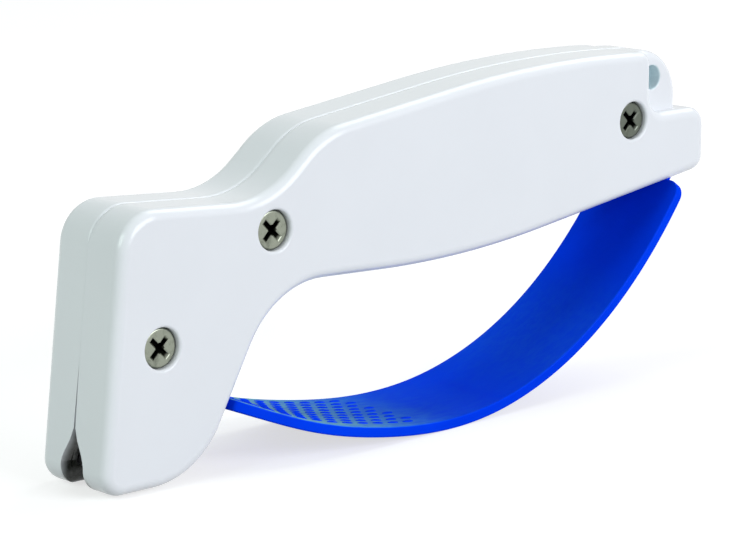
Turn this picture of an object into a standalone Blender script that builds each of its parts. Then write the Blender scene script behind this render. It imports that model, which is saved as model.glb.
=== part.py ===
"""Pull-through carbide knife sharpener: two moulded shells, a finger guard, two crossed carbide blades,
three machine screws and their nuts.

Metres, +Z up. X runs from the head to the tail, Y across the body with the screw heads on the -Y side.
The origin is on the table under the middle of the body, and Y = 0 is the plane where the shells meet.
"""
import math

import bmesh
import bpy
import numpy as np
from mathutils import Matrix, Vector

MM = 0.001

# Whole body, seen from the side
BODY_LENGTH = 139.2 * MM
BODY_HEIGHT = 59.5 * MM
BODY_THICKNESS = 17.0 * MM
EDGE_RADIUS = 1.4 * MM
LEAST_RADIUS = 0.15 * MM
WALL = 2.0 * MM

# Fillets of the side outline
CHIN_RADIUS = 2.5 * MM
HEEL_RADIUS = 15.5 * MM
THROAT_RADIUS = 17.0 * MM
BELLY_RADIUS = 205.0 * MM
TAIL_LOW_RADIUS = 3.0 * MM
TAIL_HIGH_RADIUS = 2.4 * MM
LEDGE_RADIUS = 1.0 * MM
TAB_RADIUS = 7.2 * MM
ARCH_RADIUS = 258.0 * MM
SHOULDER_RADIUS = 17.0 * MM
NECK_RADIUS = 17.0 * MM
BROW_RADIUS = 7.0 * MM

# Thin tab at the tail, with its hole for a cord
TAB_RECESS = 2.5 * MM
RECESS_RADIUS = 3.5 * MM
HANGING_HOLE_DIAMETER = 4.3 * MM

# Fits between neighbouring pieces
CLEARANCE = 0.3 * MM
OVERRUN = 2.0 * MM
EMBED = 0.6 * MM

# Machine screws and hexagon nuts
SCREW_DIAMETER = 3.5 * MM
SCREW_LENGTH = 12.7 * MM
HEAD_DIAMETER = 6.5 * MM
HEAD_HEIGHT = 2.1 * MM
HEAD_BEVEL = 0.5 * MM
HEAD_SINK = 0.8 * MM
CROSS_LENGTH = 3.3 * MM
CROSS_WIDTH = 0.85 * MM
CROSS_DEPTH = 1.5 * MM
TIP_CHAMFER = 0.5 * MM
NUT_ACROSS_FLATS = 6.4 * MM
NUT_THICKNESS = 2.8 * MM
NUT_SINK = 0.8 * MM
BOSS_WALL = 1.1 * MM

# Locating pegs between the shells
PEG_DIAMETER = 2.4 * MM
PEG_LENGTH = 3.0 * MM
PEG_SOCKET_WALL = 1.2 * MM

# Stiffening ribs in the handle
RIB_THICKNESS = 1.2 * MM
RIB_DEPTH = 3.0 * MM

# Knife slot under the head
SLOT_WIDTH = 5.7 * MM
SLOT_HEIGHT = 10.5 * MM
SLIT_WIDTH = 0.3 * MM
SLOT_SLOPE = math.radians(8.5)

# Carbide blades: flat bars that cross behind the head's front wall
BLADE_LENGTH = 14.0 * MM
BLADE_WIDTH = 4.0 * MM
BLADE_THICKNESS = 1.5 * MM
BLADE_LEAN = math.radians(20.0)
BLADE_CROSSING_HEIGHT = 9.2 * MM
BLADE_FOOT = 6.2 * MM
BLADE_SETBACK = 3.0 * MM
SEAT_REAR_WALL = 1.2 * MM
SEAT_ROOF = 1.6 * MM

# Finger guard
GUARD_WIDTH = 25.2 * MM
GUARD_THICKNESS = 1.8 * MM
GUARD_HEAD_GAP = 1.2 * MM
GUARD_TAIL_GAP = 0.4 * MM
GUARD_CORNER_RADIUS = 3.0 * MM
TONGUE_WIDTH = 11.0 * MM
TONGUE_THICKNESS = 1.0 * MM
TONGUE_OFFSET = 0.2 * MM
BEAD_RADIUS = 1.2 * MM
BEAD_SETBACK = 1.0 * MM

# Mesh fineness
ARC_STEP = math.radians(9.0)
CHORD = 5.0 * MM
EDGE_STEPS = 4
ROUND_SEGMENTS = 28
GUARD_STATIONS = 40
WIDTH_SAMPLES = 200
CORNER_STATIONS = 5
BEAD_STATIONS = 8

# Side outline of the body: places as shares of its length and height, walked from the chin
# under the head, along the underside to the tail, and back over the top
CHIN_SHARES = (0.0, 0.0084)
HEEL_SHARES = (0.1422, 0.0084)
THROAT_SHARES = (0.2565, 0.4941)
BELLY_SHARES = (0.5596, 0.4664)
TAIL_LOW_SHARES = (0.9958, 0.6168)
TAIL_HIGH_SHARES = (0.9958, 0.805)
LEDGE_SHARES = (0.9588, 0.805)
TAB_SHARES = (0.9588, 0.9855)
STEP_SHARES = (0.8913, 0.805)
STEP_TOP_SHARES = (0.8913, 0.993)
ARCH_SHARES = (0.7083, 1.0134)
SHOULDER_SHARES = (0.3294, 0.8958)
NECK_SHARES = (0.2443, 0.7267)
BROW_SHARES = (0.0369, 0.7587)

# Places of the screws, the cord hole and the pegs, as shares of the body's length and height
SCREW_SHARES = {
    "front": (0.0873, 0.3822),
    "middle": (0.2532, 0.6444),
    "tail": (0.8566, 0.7939),
}
HANGING_HOLE_SHARES = (0.909, 0.909)
PEG_SHARES = ((0.14, 0.66), (0.66, 0.6))
RIB_SHARES = (0.37, 0.47, 0.57, 0.75)

# Underside of the guard, as shares of the body's length and height
GUARD_LINE_SHARES = (
    (0.187, 0.1765),
    (0.2866, 0.0857),
    (0.3865, 0.0303),
    (0.4864, 0.0018),
    (0.5862, 0.0108),
    (0.6861, 0.0706),
    (0.7852, 0.1882),
    (0.8657, 0.3387),
    (0.9382, 0.5311),
    (0.96, 0.602),
)
# Width of the guard along its run: share of the run, share of the full width
GUARD_WIDTH_SHARES = (
    (0.0, 0.6),
    (0.07, 0.87),
    (0.18, 1.0),
    (0.33, 0.965),
    (0.53, 0.87),
    (0.78, 0.8),
    (1.0, 0.78),
)
# Half of the knife slot: share of its width, share of its height
SLOT_SHARES = (
    (0.5, 0.44),
    (0.465, 0.515),
    (0.36, 0.64),
    (0.165, 0.82),
)

HALF_THICKNESS = BODY_THICKNESS / 2
HALF_GAP = CLEARANCE / 2


def clear_scene():
    for old in list(bpy.data.objects):
        bpy.data.objects.remove(old, do_unlink=True)


# Plane geometry

def turn_between(before, corner, after):
    """Signed turn of a path at a corner, positive to the left."""
    a = np.subtract(corner, before)
    b = np.subtract(after, corner)
    return math.atan2(a[0] * b[1] - a[1] * b[0], a[0] * b[0] + a[1] * b[1])


def inset_corners(corners, inset):
    """Moves each side of a left-handed loop of corners inwards and meets the sides again."""
    count = len(corners)
    moved = []
    for i in range(count):
        before, here, after = (np.array(corners[(i + k) % count]) for k in (-1, 0, 1))
        u = (here - before) / np.linalg.norm(here - before)
        v = (after - here) / np.linalg.norm(after - here)
        left_u = np.array((-u[1], u[0]))
        left_v = np.array((-v[1], v[0]))
        bisector = (left_u + left_v) / (1 + left_u @ left_v)
        moved.append(here + bisector * inset)
    return moved


def fillet_lengths(corners, radii):
    """Length that each fillet takes from its two sides, held back where a side is too short."""
    count = len(corners)
    turns = [turn_between(corners[i - 1], corners[i], corners[(i + 1) % count]) for i in range(count)]
    lengths = [radii[i] * math.tan(abs(turns[i]) / 2) for i in range(count)]
    held = list(lengths)
    for i in range(count):
        side = np.linalg.norm(np.subtract(corners[(i + 1) % count], corners[i]))
        both = lengths[i] + lengths[(i + 1) % count]
        if both > side:
            for k in (i, (i + 1) % count):
                held[k] = min(held[k], lengths[k] * side / both)
    return turns, held


def rounded_outline(corners, radii, inset=0.0):
    """Outline with filleted corners. Every inset of one outline has the same number of points."""
    turns, base = fillet_lengths(corners, radii)
    moved = inset_corners(corners, inset)
    changed = []
    for length, turn in zip(base, turns):
        half = math.tan(abs(turn) / 2)
        radius = length / half
        radius = radius - inset if turn > 0 else radius + inset
        changed.append(max(radius, LEAST_RADIUS))
    _, lengths = fillet_lengths(moved, changed)
    points = []
    for i, corner in enumerate(moved):
        before = moved[i - 1]
        after = moved[(i + 1) % len(moved)]
        u = (corner - before) / np.linalg.norm(corner - before)
        v = (after - corner) / np.linalg.norm(after - corner)
        half = abs(turns[i]) / 2
        radius = lengths[i] / math.tan(half)
        base_radius = base[i] / math.tan(half)
        steps = max(2, math.ceil(abs(turns[i]) / ARC_STEP), math.ceil(base_radius * abs(turns[i]) / CHORD))
        start = corner - u * lengths[i]
        side = math.copysign(1, turns[i])
        centre = start + np.array((-u[1], u[0])) * side * radius
        spoke = start - centre
        for k in range(steps + 1):
            angle = turns[i] * k / steps
            c, s = math.cos(angle), math.sin(angle)
            points.append(centre + (spoke[0] * c - spoke[1] * s, spoke[0] * s + spoke[1] * c))
    return points


def natural_spline(points):
    """Smooth curve through points, as a function of the distance along their chords."""
    points = np.array(points)
    knots = np.concatenate(([0.0], np.cumsum(np.linalg.norm(np.diff(points, axis=0), axis=1))))
    gaps = np.diff(knots)
    count = len(points)
    matrix = np.eye(count)
    right = np.zeros((count, 2))
    for i in range(1, count - 1):
        matrix[i, i - 1:i + 2] = gaps[i - 1], 2 * (gaps[i - 1] + gaps[i]), gaps[i]
        right[i] = 6 * ((points[i + 1] - points[i]) / gaps[i] - (points[i] - points[i - 1]) / gaps[i - 1])
    bend = np.linalg.solve(matrix, right)

    def position(distance):
        i = int(np.clip(np.searchsorted(knots, distance) - 1, 0, count - 2))
        h = gaps[i]
        a = (knots[i + 1] - distance) / h
        b = (distance - knots[i]) / h
        cubic = ((a ** 3 - a) * bend[i] + (b ** 3 - b) * bend[i + 1]) * h * h / 6
        return a * points[i] + b * points[i + 1] + cubic

    return position, knots[-1]


# Places on the body

def raw_place(shares):
    return (shares[0] * BODY_LENGTH, shares[1] * BODY_HEIGHT)


OUTER_CORNERS = (
    (CHIN_SHARES, CHIN_RADIUS),
    (HEEL_SHARES, HEEL_RADIUS),
    (THROAT_SHARES, THROAT_RADIUS),
    (BELLY_SHARES, BELLY_RADIUS),
    (TAIL_LOW_SHARES, TAIL_LOW_RADIUS),
    (TAIL_HIGH_SHARES, TAIL_HIGH_RADIUS),
    (LEDGE_SHARES, LEDGE_RADIUS),
    (TAB_SHARES, TAB_RADIUS),
    (ARCH_SHARES, ARCH_RADIUS),
    (SHOULDER_SHARES, SHOULDER_RADIUS),
    (NECK_SHARES, NECK_RADIUS),
    (BROW_SHARES, BROW_RADIUS),
)
# The hollow stops short of the thin tab
HOLLOW_CORNERS = OUTER_CORNERS[:6] + (
    (STEP_SHARES, RECESS_RADIUS),
    (STEP_TOP_SHARES, WALL + EMBED),
) + OUTER_CORNERS[8:]


def outline_of(corners, inset=0.0):
    places = [raw_place(shares) for shares, _ in corners]
    radii = [radius for _, radius in corners]
    return rounded_outline(places, radii, inset)


RAW_OUTLINE = outline_of(OUTER_CORNERS)
X_MIDDLE = (min(p[0] for p in RAW_OUTLINE) + max(p[0] for p in RAW_OUTLINE)) / 2


def place(shares):
    """Place in the part's frame of a point given as shares of the body's length and height."""
    x, z = raw_place(shares)
    return np.array((x - X_MIDDLE, z))


def body_outline(corners, inset=0.0):
    return [(p[0] - X_MIDDLE, p[1]) for p in outline_of(corners, inset)]


def on_line(first, second, height):
    """X of the straight side between two corners, at a height."""
    a, b = place(first), place(second)
    return a[0] + (b[0] - a[0]) * (height - a[1]) / (b[1] - a[1])


# Meshes

def new_object(name, verts, faces):
    mesh = bpy.data.meshes.new(name)
    mesh.from_pydata([tuple(map(float, v)) for v in verts], [], faces)
    bm = bmesh.new()
    bm.from_mesh(mesh)
    bmesh.ops.recalc_face_normals(bm, faces=bm.faces)
    bm.to_mesh(mesh)
    bm.free()
    obj = bpy.data.objects.new(name, mesh)
    bpy.context.scene.collection.objects.link(obj)
    return obj


def loft(name, rings):
    """Closed solid through rings of equal length."""
    count = len(rings[0])
    verts = [v for ring in rings for v in ring]
    faces = []
    for r in range(len(rings) - 1):
        for i in range(count):
            j = (i + 1) % count
            low, high = r * count, (r + 1) * count
            faces.append((low + i, low + j, high + j, high + i))
    faces.append(tuple(range(count)))
    faces.append(tuple(range((len(rings) - 1) * count, len(rings) * count)))
    return new_object(name, verts, faces)


def side_prism(name, outline, y_low, y_high):
    """Prism along Y on an outline of X and Z."""
    return loft(name, [[(x, y, z) for x, z in outline] for y in (y_low, y_high)])


def cross_prism(name, outline, x_low, x_high):
    """Prism along X on an outline of Y and Z."""
    return loft(name, [[(x, y, z) for y, z in outline] for x in (x_low, x_high)])


def circle(radius, segments=ROUND_SEGMENTS, phase=0.0):
    steps = (phase + 2 * math.pi * k / segments for k in range(segments))
    return [(radius * math.cos(a), radius * math.sin(a)) for a in steps]


def pin(name, centre, profile, segments=ROUND_SEGMENTS, phase=0.0):
    """Solid turned about a line along Y, from radii and Y places."""
    rings = []
    for radius, y in profile:
        rings.append([(centre[0] + x, y, centre[1] + z) for x, z in circle(radius, segments, phase)])
    return loft(name, rings)


def combine(target, tool, operation):
    """Applies a Boolean to the target's mesh and removes the tool."""
    modifier = target.modifiers.new(operation, "BOOLEAN")
    modifier.operation = operation
    modifier.solver = "EXACT"
    modifier.object = tool
    bpy.context.view_layer.update()
    graph = bpy.context.evaluated_depsgraph_get()
    result = bpy.data.meshes.new_from_object(target.evaluated_get(graph))
    target.modifiers.clear()
    target.data = result
    bpy.data.objects.remove(tool, do_unlink=True)


def material(name, colour, roughness, metallic=0.0):
    found = bpy.data.materials.get(name)
    if found:
        return found
    made = bpy.data.materials.new(name)
    made.use_nodes = True
    shader = made.node_tree.nodes["Principled BSDF"]
    shader.inputs["Base Color"].default_value = (*colour, 1.0)
    shader.inputs["Roughness"].default_value = roughness
    shader.inputs["Metallic"].default_value = metallic
    return made


def finish(obj, look, origin=(0.0, 0.0, 0.0)):
    """Gives an object its material, smooth shading and its own origin."""
    obj.data.materials.clear()
    obj.data.materials.append(look)
    obj.data.transform(Matrix.Translation(-Vector(origin)))
    obj.location = origin
    obj.data.shade_smooth()
    obj.data.set_sharp_from_angle(angle=math.radians(35.0))
    return obj


# Finger guard

class Guard:
    """Run of the guard's underside, with the places where it ends and enters the shells."""

    def __init__(self):
        self.position, self.run = natural_spline([place(s) for s in GUARD_LINE_SHARES])
        width, reach = natural_spline(GUARD_WIDTH_SHARES)
        self.width_shares = np.array([width(t) for t in np.linspace(0.0, reach, WIDTH_SAMPLES)])
        self.start = self.first_clear_of_head()
        self.end = self.last_clear_of_handle()

    def frame(self, distance):
        """Point, direction towards the tail and direction towards the handle."""
        step = CHORD / 50
        here = self.position(distance)
        along = self.position(distance + step) - self.position(distance - step)
        along = along / np.linalg.norm(along)
        return here, along, np.array((-along[1], along[0]))

    def first_clear_of_head(self):
        heel, throat = place(HEEL_SHARES), place(THROAT_SHARES)
        back = (throat - heel) / np.linalg.norm(throat - heel)
        outward = np.array((back[1], -back[0]))
        for distance in np.linspace(0.0, self.run / 3, 400):
            here, _, inward = self.frame(distance)
            inner = here + inward * GUARD_THICKNESS
            if min((here - heel) @ outward, (inner - heel) @ outward) >= GUARD_HEAD_GAP:
                return distance
        return 0.0

    def last_clear_of_handle(self):
        belly, tail = place(BELLY_SHARES), place(TAIL_LOW_SHARES)
        low = (tail - belly) / np.linalg.norm(tail - belly)
        downward = np.array((low[1], -low[0]))
        for distance in np.linspace(self.run, 2 * self.run / 3, 400):
            here, _, inward = self.frame(distance)
            inner = here + inward * GUARD_THICKNESS
            if (inner - belly) @ downward >= GUARD_TAIL_GAP:
                return distance
        return self.run

    def half_width(self, distance):
        share = (distance - self.start) / (self.end - self.start)
        half = np.interp(share, self.width_shares[:, 0], self.width_shares[:, 1]) * GUARD_WIDTH / 2
        rest = self.end - distance
        if rest < GUARD_CORNER_RADIUS:
            drop = GUARD_CORNER_RADIUS - rest
            half -= GUARD_CORNER_RADIUS - math.sqrt(max(GUARD_CORNER_RADIUS ** 2 - drop ** 2, 0.0))
        return half

    def tongue(self, at_head):
        """Start of a tongue's middle line and its direction into the shells."""
        distance = self.start if at_head else self.end
        here, along, inward = self.frame(distance)
        side = 1 if at_head else -1
        middle = here + inward * (GUARD_THICKNESS / 2 + side * TONGUE_OFFSET)
        return middle, (-along if at_head else along), inward

    def wall_path(self, at_head):
        """Distances along a tongue to the outside and the inside of the wall that it passes."""
        first, second = (HEEL_SHARES, THROAT_SHARES) if at_head else (BELLY_SHARES, TAIL_LOW_SHARES)
        a, b = place(first), place(second)
        along = (b - a) / np.linalg.norm(b - a)
        outward = np.array((along[1], -along[0]))
        start, heading, _ = self.tongue(at_head)
        speed = -(heading @ outward)
        outside = ((start - a) @ outward) / speed
        return outside, outside + WALL / speed

    def bead(self, at_head):
        """Distance along a tongue to the middle of the bead that holds it."""
        return self.wall_path(at_head)[1] + BEAD_SETBACK

    def section(self, middle, inward, half_width, low, high):
        corners = ((-half_width, low), (half_width, low), (half_width, high), (-half_width, high))
        return [(middle[0] + inward[0] * t, y, middle[1] + inward[1] * t) for y, t in corners]

    def tongue_sections(self, at_head):
        """Sections of a tongue and its bead, from the strip outwards."""
        start, heading, inward = self.tongue(at_head)
        centre = self.bead(at_head)
        half = TONGUE_THICKNESS / 2
        rows = [(0.0, half)]
        neck = math.asin(half / BEAD_RADIUS)
        for angle in np.linspace(neck, math.pi - neck, BEAD_STATIONS):
            rows.append((centre - BEAD_RADIUS * math.cos(angle), BEAD_RADIUS * math.sin(angle)))
        return [self.section(start + heading * d, inward, TONGUE_WIDTH / 2, -h, h) for d, h in rows]

    def build(self):
        rings = list(reversed(self.tongue_sections(True)))
        corner = self.end - GUARD_CORNER_RADIUS
        distances = list(np.linspace(self.start, corner, GUARD_STATIONS, endpoint=False))
        for k in range(CORNER_STATIONS + 1):
            angle = math.pi / 2 * k / CORNER_STATIONS
            distances.append(corner + GUARD_CORNER_RADIUS * math.sin(angle))
        for distance in distances:
            here, _, inward = self.frame(distance)
            rings.append(self.section(here, inward, self.half_width(distance), 0.0, GUARD_THICKNESS))
        rings += self.tongue_sections(False)
        return loft("finger_guard", rings)

    def cutters(self, at_head):
        """Slot and bead socket that a tongue needs in the shells."""
        start, heading, inward = self.tongue(at_head)
        outside, _ = self.wall_path(at_head)
        centre = self.bead(at_head)
        half = TONGUE_THICKNESS / 2 + CLEARANCE
        reach = TONGUE_WIDTH / 2 + CLEARANCE
        name = "head" if at_head else "tail"
        low, high = start + heading * (outside - OVERRUN), start + heading * centre
        box = [low - inward * half, high - inward * half, high + inward * half, low + inward * half]
        slot = side_prism(name + "_tongue_slot", [tuple(p) for p in box], -reach, reach)
        radius = BEAD_RADIUS + CLEARANCE
        socket = pin(name + "_bead_socket", start + heading * centre, ((radius, -reach), (radius, reach)))
        return [slot, socket]


# Carbide blades

class Blade:
    """One carbide bar. Side +1 stands its foot in the +Y shell, side -1 in the -Y shell."""

    def __init__(self, name, side, x_front):
        self.name = name
        self.side = side
        self.x_front = x_front
        self.down = np.array((side * math.sin(BLADE_LEAN), -math.cos(BLADE_LEAN)))
        self.out = np.array((side * math.cos(BLADE_LEAN), math.sin(BLADE_LEAN)))
        self.crossing = np.array((0.0, BLADE_CROSSING_HEIGHT))
        self.rise = BLADE_LENGTH - BLADE_FOOT

    def point(self, along, across):
        return self.crossing + self.down * along + self.out * across

    def build(self):
        corners = [
            self.point(BLADE_FOOT, 0.0),
            self.point(BLADE_FOOT, BLADE_WIDTH),
            self.point(-self.rise, BLADE_WIDTH),
            self.point(-self.rise, 0.0),
        ]
        return cross_prism(self.name, corners, self.x_front, self.x_front + BLADE_THICKNESS)

    def home_pocket(self):
        """Pocket in the shell that holds the foot, open towards the other shell."""
        gap = CLEARANCE
        toe = self.point(BLADE_FOOT + gap, -gap)
        heel = self.point(BLADE_FOOT + gap, BLADE_WIDTH + gap)
        top = self.point(-self.rise - gap, BLADE_WIDTH + gap)
        open_y = -self.side * OVERRUN
        outline = [(open_y, toe[1]), tuple(toe), tuple(heel), tuple(top), (open_y, top[1])]
        return self.pocket(outline)

    def away_pocket(self):
        """Pocket in the other shell, around the blade's upper corner."""
        gap = CLEARANCE
        low = self.point(OVERRUN, -gap)
        corner = self.point(-self.rise - gap, -gap)
        top = self.point(-self.rise - gap, BLADE_WIDTH + gap)
        return self.pocket([tuple(low), tuple(corner), tuple(top)])

    def pocket(self, outline):
        x_low = self.x_front - CLEARANCE
        x_high = self.x_front + BLADE_THICKNESS + CLEARANCE
        return cross_prism(self.name + "_pocket", outline, x_low, x_high)


def make_blades():
    front_x = on_line(CHIN_SHARES, BROW_SHARES, BLADE_CROSSING_HEIGHT) + BLADE_SETBACK
    rear_x = front_x + BLADE_THICKNESS + CLEARANCE
    return [Blade("carbide_blade_front", 1, front_x), Blade("carbide_blade_rear", -1, rear_x)]


# Shells

def shell_loft(name, side):
    """Outside of one shell with its rounded rim, closed at the parting plane."""
    rings = []
    levels = [(HALF_GAP, 0.0)]
    for k in range(EDGE_STEPS + 1):
        angle = math.pi / 2 * k / EDGE_STEPS
        y = HALF_THICKNESS - EDGE_RADIUS * (1 - math.sin(angle))
        levels.append((y, EDGE_RADIUS * (1 - math.cos(angle))))
    for y, inset in levels:
        rings.append([(x, side * y, z) for x, z in body_outline(OUTER_CORNERS, inset)])
    return loft(name, rings)


def hollow(side):
    outline = body_outline(HOLLOW_CORNERS, WALL)
    inner, outer = sorted((side * (HALF_THICKNESS - WALL), -side * OVERRUN))
    return side_prism("hollow", outline, inner, outer)


def boss_radius():
    head_seat = HEAD_DIAMETER / 2 + CLEARANCE
    nut_seat = (NUT_ACROSS_FLATS / 2 + CLEARANCE) / math.cos(math.pi / 6)
    return max(head_seat, nut_seat) + BOSS_WALL


def boss(centre, side, radius=None):
    radius = radius or boss_radius()
    outer = HALF_THICKNESS - WALL + EMBED
    return pin("boss", centre, ((radius, side * HALF_GAP), (radius, side * outer)))


def blade_seat(blades, side):
    """Solid block behind the front wall that carries the blades."""
    roof = blades[0].point(-blades[0].rise, BLADE_WIDTH)[1] + CLEARANCE + SEAT_ROOF
    front = on_line(CHIN_SHARES, BROW_SHARES, roof) + WALL / 4
    rear = blades[1].x_front + BLADE_THICKNESS + CLEARANCE + SEAT_REAR_WALL
    floor = WALL - EMBED
    box = [(front, floor), (rear, floor), (rear, roof), (front, roof)]
    inner, outer = sorted((side * HALF_GAP, side * (HALF_THICKNESS - WALL + EMBED)))
    return side_prism("blade_seat", box, inner, outer)


def rib(share, side):
    """Rib across the handle, low beside the side wall and rooted in the walls above and below."""
    middle = share * BODY_LENGTH - X_MIDDLE
    half = RIB_THICKNESS / 2
    wall = HALF_THICKNESS - WALL
    inner, outer = sorted((side * (wall - RIB_DEPTH), side * (wall + EMBED)))
    low, high = middle - half, middle + half
    box = [(low, 0.0), (high, 0.0), (high, BODY_HEIGHT), (low, BODY_HEIGHT)]
    across = side_prism("rib", box, inner, outer)
    rooted = body_outline(HOLLOW_CORNERS, WALL - EMBED)
    limits = side_prism("limits", rooted, inner - OVERRUN, outer + OVERRUN)
    combine(across, limits, "INTERSECT")
    return across


def recess(side):
    """Space beside the thin tab."""
    step, ledge = place(STEP_SHARES), place(LEDGE_SHARES)
    right = ledge[0] + BODY_THICKNESS
    top = step[1] + BODY_HEIGHT
    corners = [tuple(step), (right, step[1]), (right, top), (step[0], top)]
    outline = rounded_outline(corners, [RECESS_RADIUS, LEAST_RADIUS, LEAST_RADIUS, LEAST_RADIUS])
    inner, outer = sorted((side * (HALF_THICKNESS - TAB_RECESS), side * (HALF_THICKNESS + OVERRUN)))
    return side_prism("recess", outline, inner, outer)


def knife_slot():
    """Channel for the knife along the head's underside, sinking towards the guard."""
    half = [(width * SLOT_WIDTH, height * SLOT_HEIGHT) for width, height in SLOT_SHARES]
    right = [(SLOT_WIDTH / 2, -OVERRUN)] + half + [(SLIT_WIDTH / 2, SLOT_HEIGHT)]
    outline = right + [(-y, z) for y, z in reversed(right)]
    front = place(CHIN_SHARES)[0]
    rings = []
    for x in (front - OVERRUN, place(THROAT_SHARES)[0]):
        drop = (x - front) * math.tan(SLOT_SLOPE)
        rings.append([(x, y, z - drop) for y, z in outline])
    return loft("knife_slot", rings)


def hexagon(centre, across_flats, y_low, y_high):
    radius = across_flats / 2 / math.cos(math.pi / 6)
    return pin("hexagon", centre, ((radius, y_low), (radius, y_high)), segments=6, phase=math.pi / 6)


def head_face():
    """Y of a screw head's flat top."""
    return -(HALF_THICKNESS - HEAD_SINK)


def nut_face():
    """Y of a nut's outer face."""
    return HALF_THICKNESS - NUT_SINK


def through_hole(centre, radius):
    reach = HALF_THICKNESS + OVERRUN
    return pin("through_hole", centre, ((radius, -reach), (radius, reach)))


def cut_common(shell, side, blades, guard):
    """Makes the holes and hollows that both shells share."""
    for centre in SCREW_SHARES.values():
        combine(shell, through_hole(place(centre), SCREW_DIAMETER / 2 + CLEARANCE), "DIFFERENCE")
    combine(shell, through_hole(place(HANGING_HOLE_SHARES), HANGING_HOLE_DIAMETER / 2), "DIFFERENCE")
    for blade in blades:
        pocket = blade.home_pocket() if blade.side == side else blade.away_pocket()
        combine(shell, pocket, "DIFFERENCE")
    combine(shell, knife_slot(), "DIFFERENCE")
    for at_head in (True, False):
        for cutter in guard.cutters(at_head):
            combine(shell, cutter, "DIFFERENCE")


def make_shell(name, side, blades):
    """Hollow shell with its bosses, blade seat, ribs and tail recess."""
    shell = shell_loft(name, side)
    combine(shell, hollow(side), "DIFFERENCE")
    for centre in SCREW_SHARES.values():
        combine(shell, boss(place(centre), side), "UNION")
    combine(shell, blade_seat(blades, side), "UNION")
    for share in RIB_SHARES:
        combine(shell, rib(share, side), "UNION")
    combine(shell, recess(side), "DIFFERENCE")
    return shell


def make_near_shell(blades, guard):
    """Shell with the sunk screw heads and the sockets of the locating pegs."""
    shell = make_shell("near_shell", -1, blades)
    for shares in PEG_SHARES:
        radius = PEG_DIAMETER / 2 + CLEARANCE
        combine(shell, boss(place(shares), -1, radius + PEG_SOCKET_WALL), "UNION")
        depth = PEG_LENGTH + CLEARANCE
        combine(shell, pin("peg_socket", place(shares), ((radius, -depth), (radius, OVERRUN))), "DIFFERENCE")
    for centre in SCREW_SHARES.values():
        radius = HEAD_DIAMETER / 2 + CLEARANCE
        floor = head_face() + HEAD_HEIGHT + CLEARANCE
        seat = pin("head_seat", place(centre), ((radius, -HALF_THICKNESS - OVERRUN), (radius, floor)))
        combine(shell, seat, "DIFFERENCE")
    cut_common(shell, -1, blades, guard)
    return shell


def make_far_shell(blades, guard):
    """Shell with the nut pockets and the locating pegs."""
    shell = make_shell("far_shell", 1, blades)
    for shares in PEG_SHARES:
        foot = HALF_THICKNESS - WALL + EMBED
        radius = PEG_DIAMETER / 2
        peg = pin("peg", place(shares), ((radius, -PEG_LENGTH), (radius, foot)))
        combine(shell, peg, "UNION")
    for centre in SCREW_SHARES.values():
        floor = nut_face() - NUT_THICKNESS - CLEARANCE
        pocket = hexagon(place(centre), NUT_ACROSS_FLATS + 2 * CLEARANCE, floor, HALF_THICKNESS + OVERRUN)
        combine(shell, pocket, "DIFFERENCE")
    cut_common(shell, 1, blades, guard)
    return shell


# Fasteners

def make_screw(name, centre):
    """Machine screw with a flat-topped, bevelled head and a cross recess."""
    top = head_face()
    under = top + HEAD_HEIGHT
    tip = under + SCREW_LENGTH
    head, shank = HEAD_DIAMETER / 2, SCREW_DIAMETER / 2
    profile = (
        (head - HEAD_BEVEL, top),
        (head - HEAD_BEVEL / 3, top + HEAD_BEVEL / 3),
        (head, top + HEAD_BEVEL),
        (head, under),
        (shank, under),
        (shank, tip - TIP_CHAMFER),
        (shank - TIP_CHAMFER, tip),
    )
    screw = pin(name, centre, profile)
    half_long, half_wide = CROSS_LENGTH / 2, CROSS_WIDTH / 2
    for turn in (math.pi / 4, -math.pi / 4):
        c, s = math.cos(turn), math.sin(turn)
        rings = []
        for y, taper in ((top - OVERRUN, 1.0), (top, 1.0), (top + CROSS_DEPTH, 0.5)):
            ring = []
            for a, b in ((-1, -1), (1, -1), (1, 1), (-1, 1)):
                u, v = a * half_long * taper, b * half_wide
                ring.append((centre[0] + u * c - v * s, y, centre[1] + u * s + v * c))
            rings.append(ring)
        combine(screw, loft("cross", rings), "DIFFERENCE")
    return screw


def make_nut(name, centre):
    outer = nut_face()
    nut = hexagon(centre, NUT_ACROSS_FLATS, outer - NUT_THICKNESS, outer)
    nut.name = name
    bore = SCREW_DIAMETER / 2 + CLEARANCE
    tool = pin("nut_bore", centre, ((bore, outer - NUT_THICKNESS - OVERRUN), (bore, outer + OVERRUN)))
    combine(nut, tool, "DIFFERENCE")
    return nut


def main():
    clear_scene()
    white = material("white_plastic", (0.80, 0.82, 0.84), 0.28)
    blue = material("blue_plastic", (0.0, 0.05, 0.75), 0.4)
    nickel = material("nickel_steel", (0.55, 0.54, 0.50), 0.3, 1.0)
    carbide = material("carbide", (0.10, 0.10, 0.11), 0.35, 1.0)
    guard = Guard()
    blades = make_blades()
    finish(make_near_shell(blades, guard), white)
    finish(make_far_shell(blades, guard), white)
    finish(guard.build(), blue)
    for blade in blades:
        finish(blade.build(), carbide)
    for label, shares in SCREW_SHARES.items():
        centre = place(shares)
        axis = (centre[0], 0.0, centre[1])
        finish(make_screw("screw_" + label, centre), nickel, axis)
        finish(make_nut("nut_" + label, centre), nickel, axis)


main()
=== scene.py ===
"""Dresses the carbide knife sharpener: smooth shells, ridged finger guard, threaded screws, ground blades.

Lengths are in metres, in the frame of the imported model: X from the head to the tail, Y across the body
with the screw heads on the -Y side, Z up from the table.
"""
import logging
import math
from dataclasses import dataclass, field
from enum import Enum
from typing import Any, Iterable, Sequence

import bmesh
import bpy
import numpy as np
from mathutils import Matrix, Vector


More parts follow.
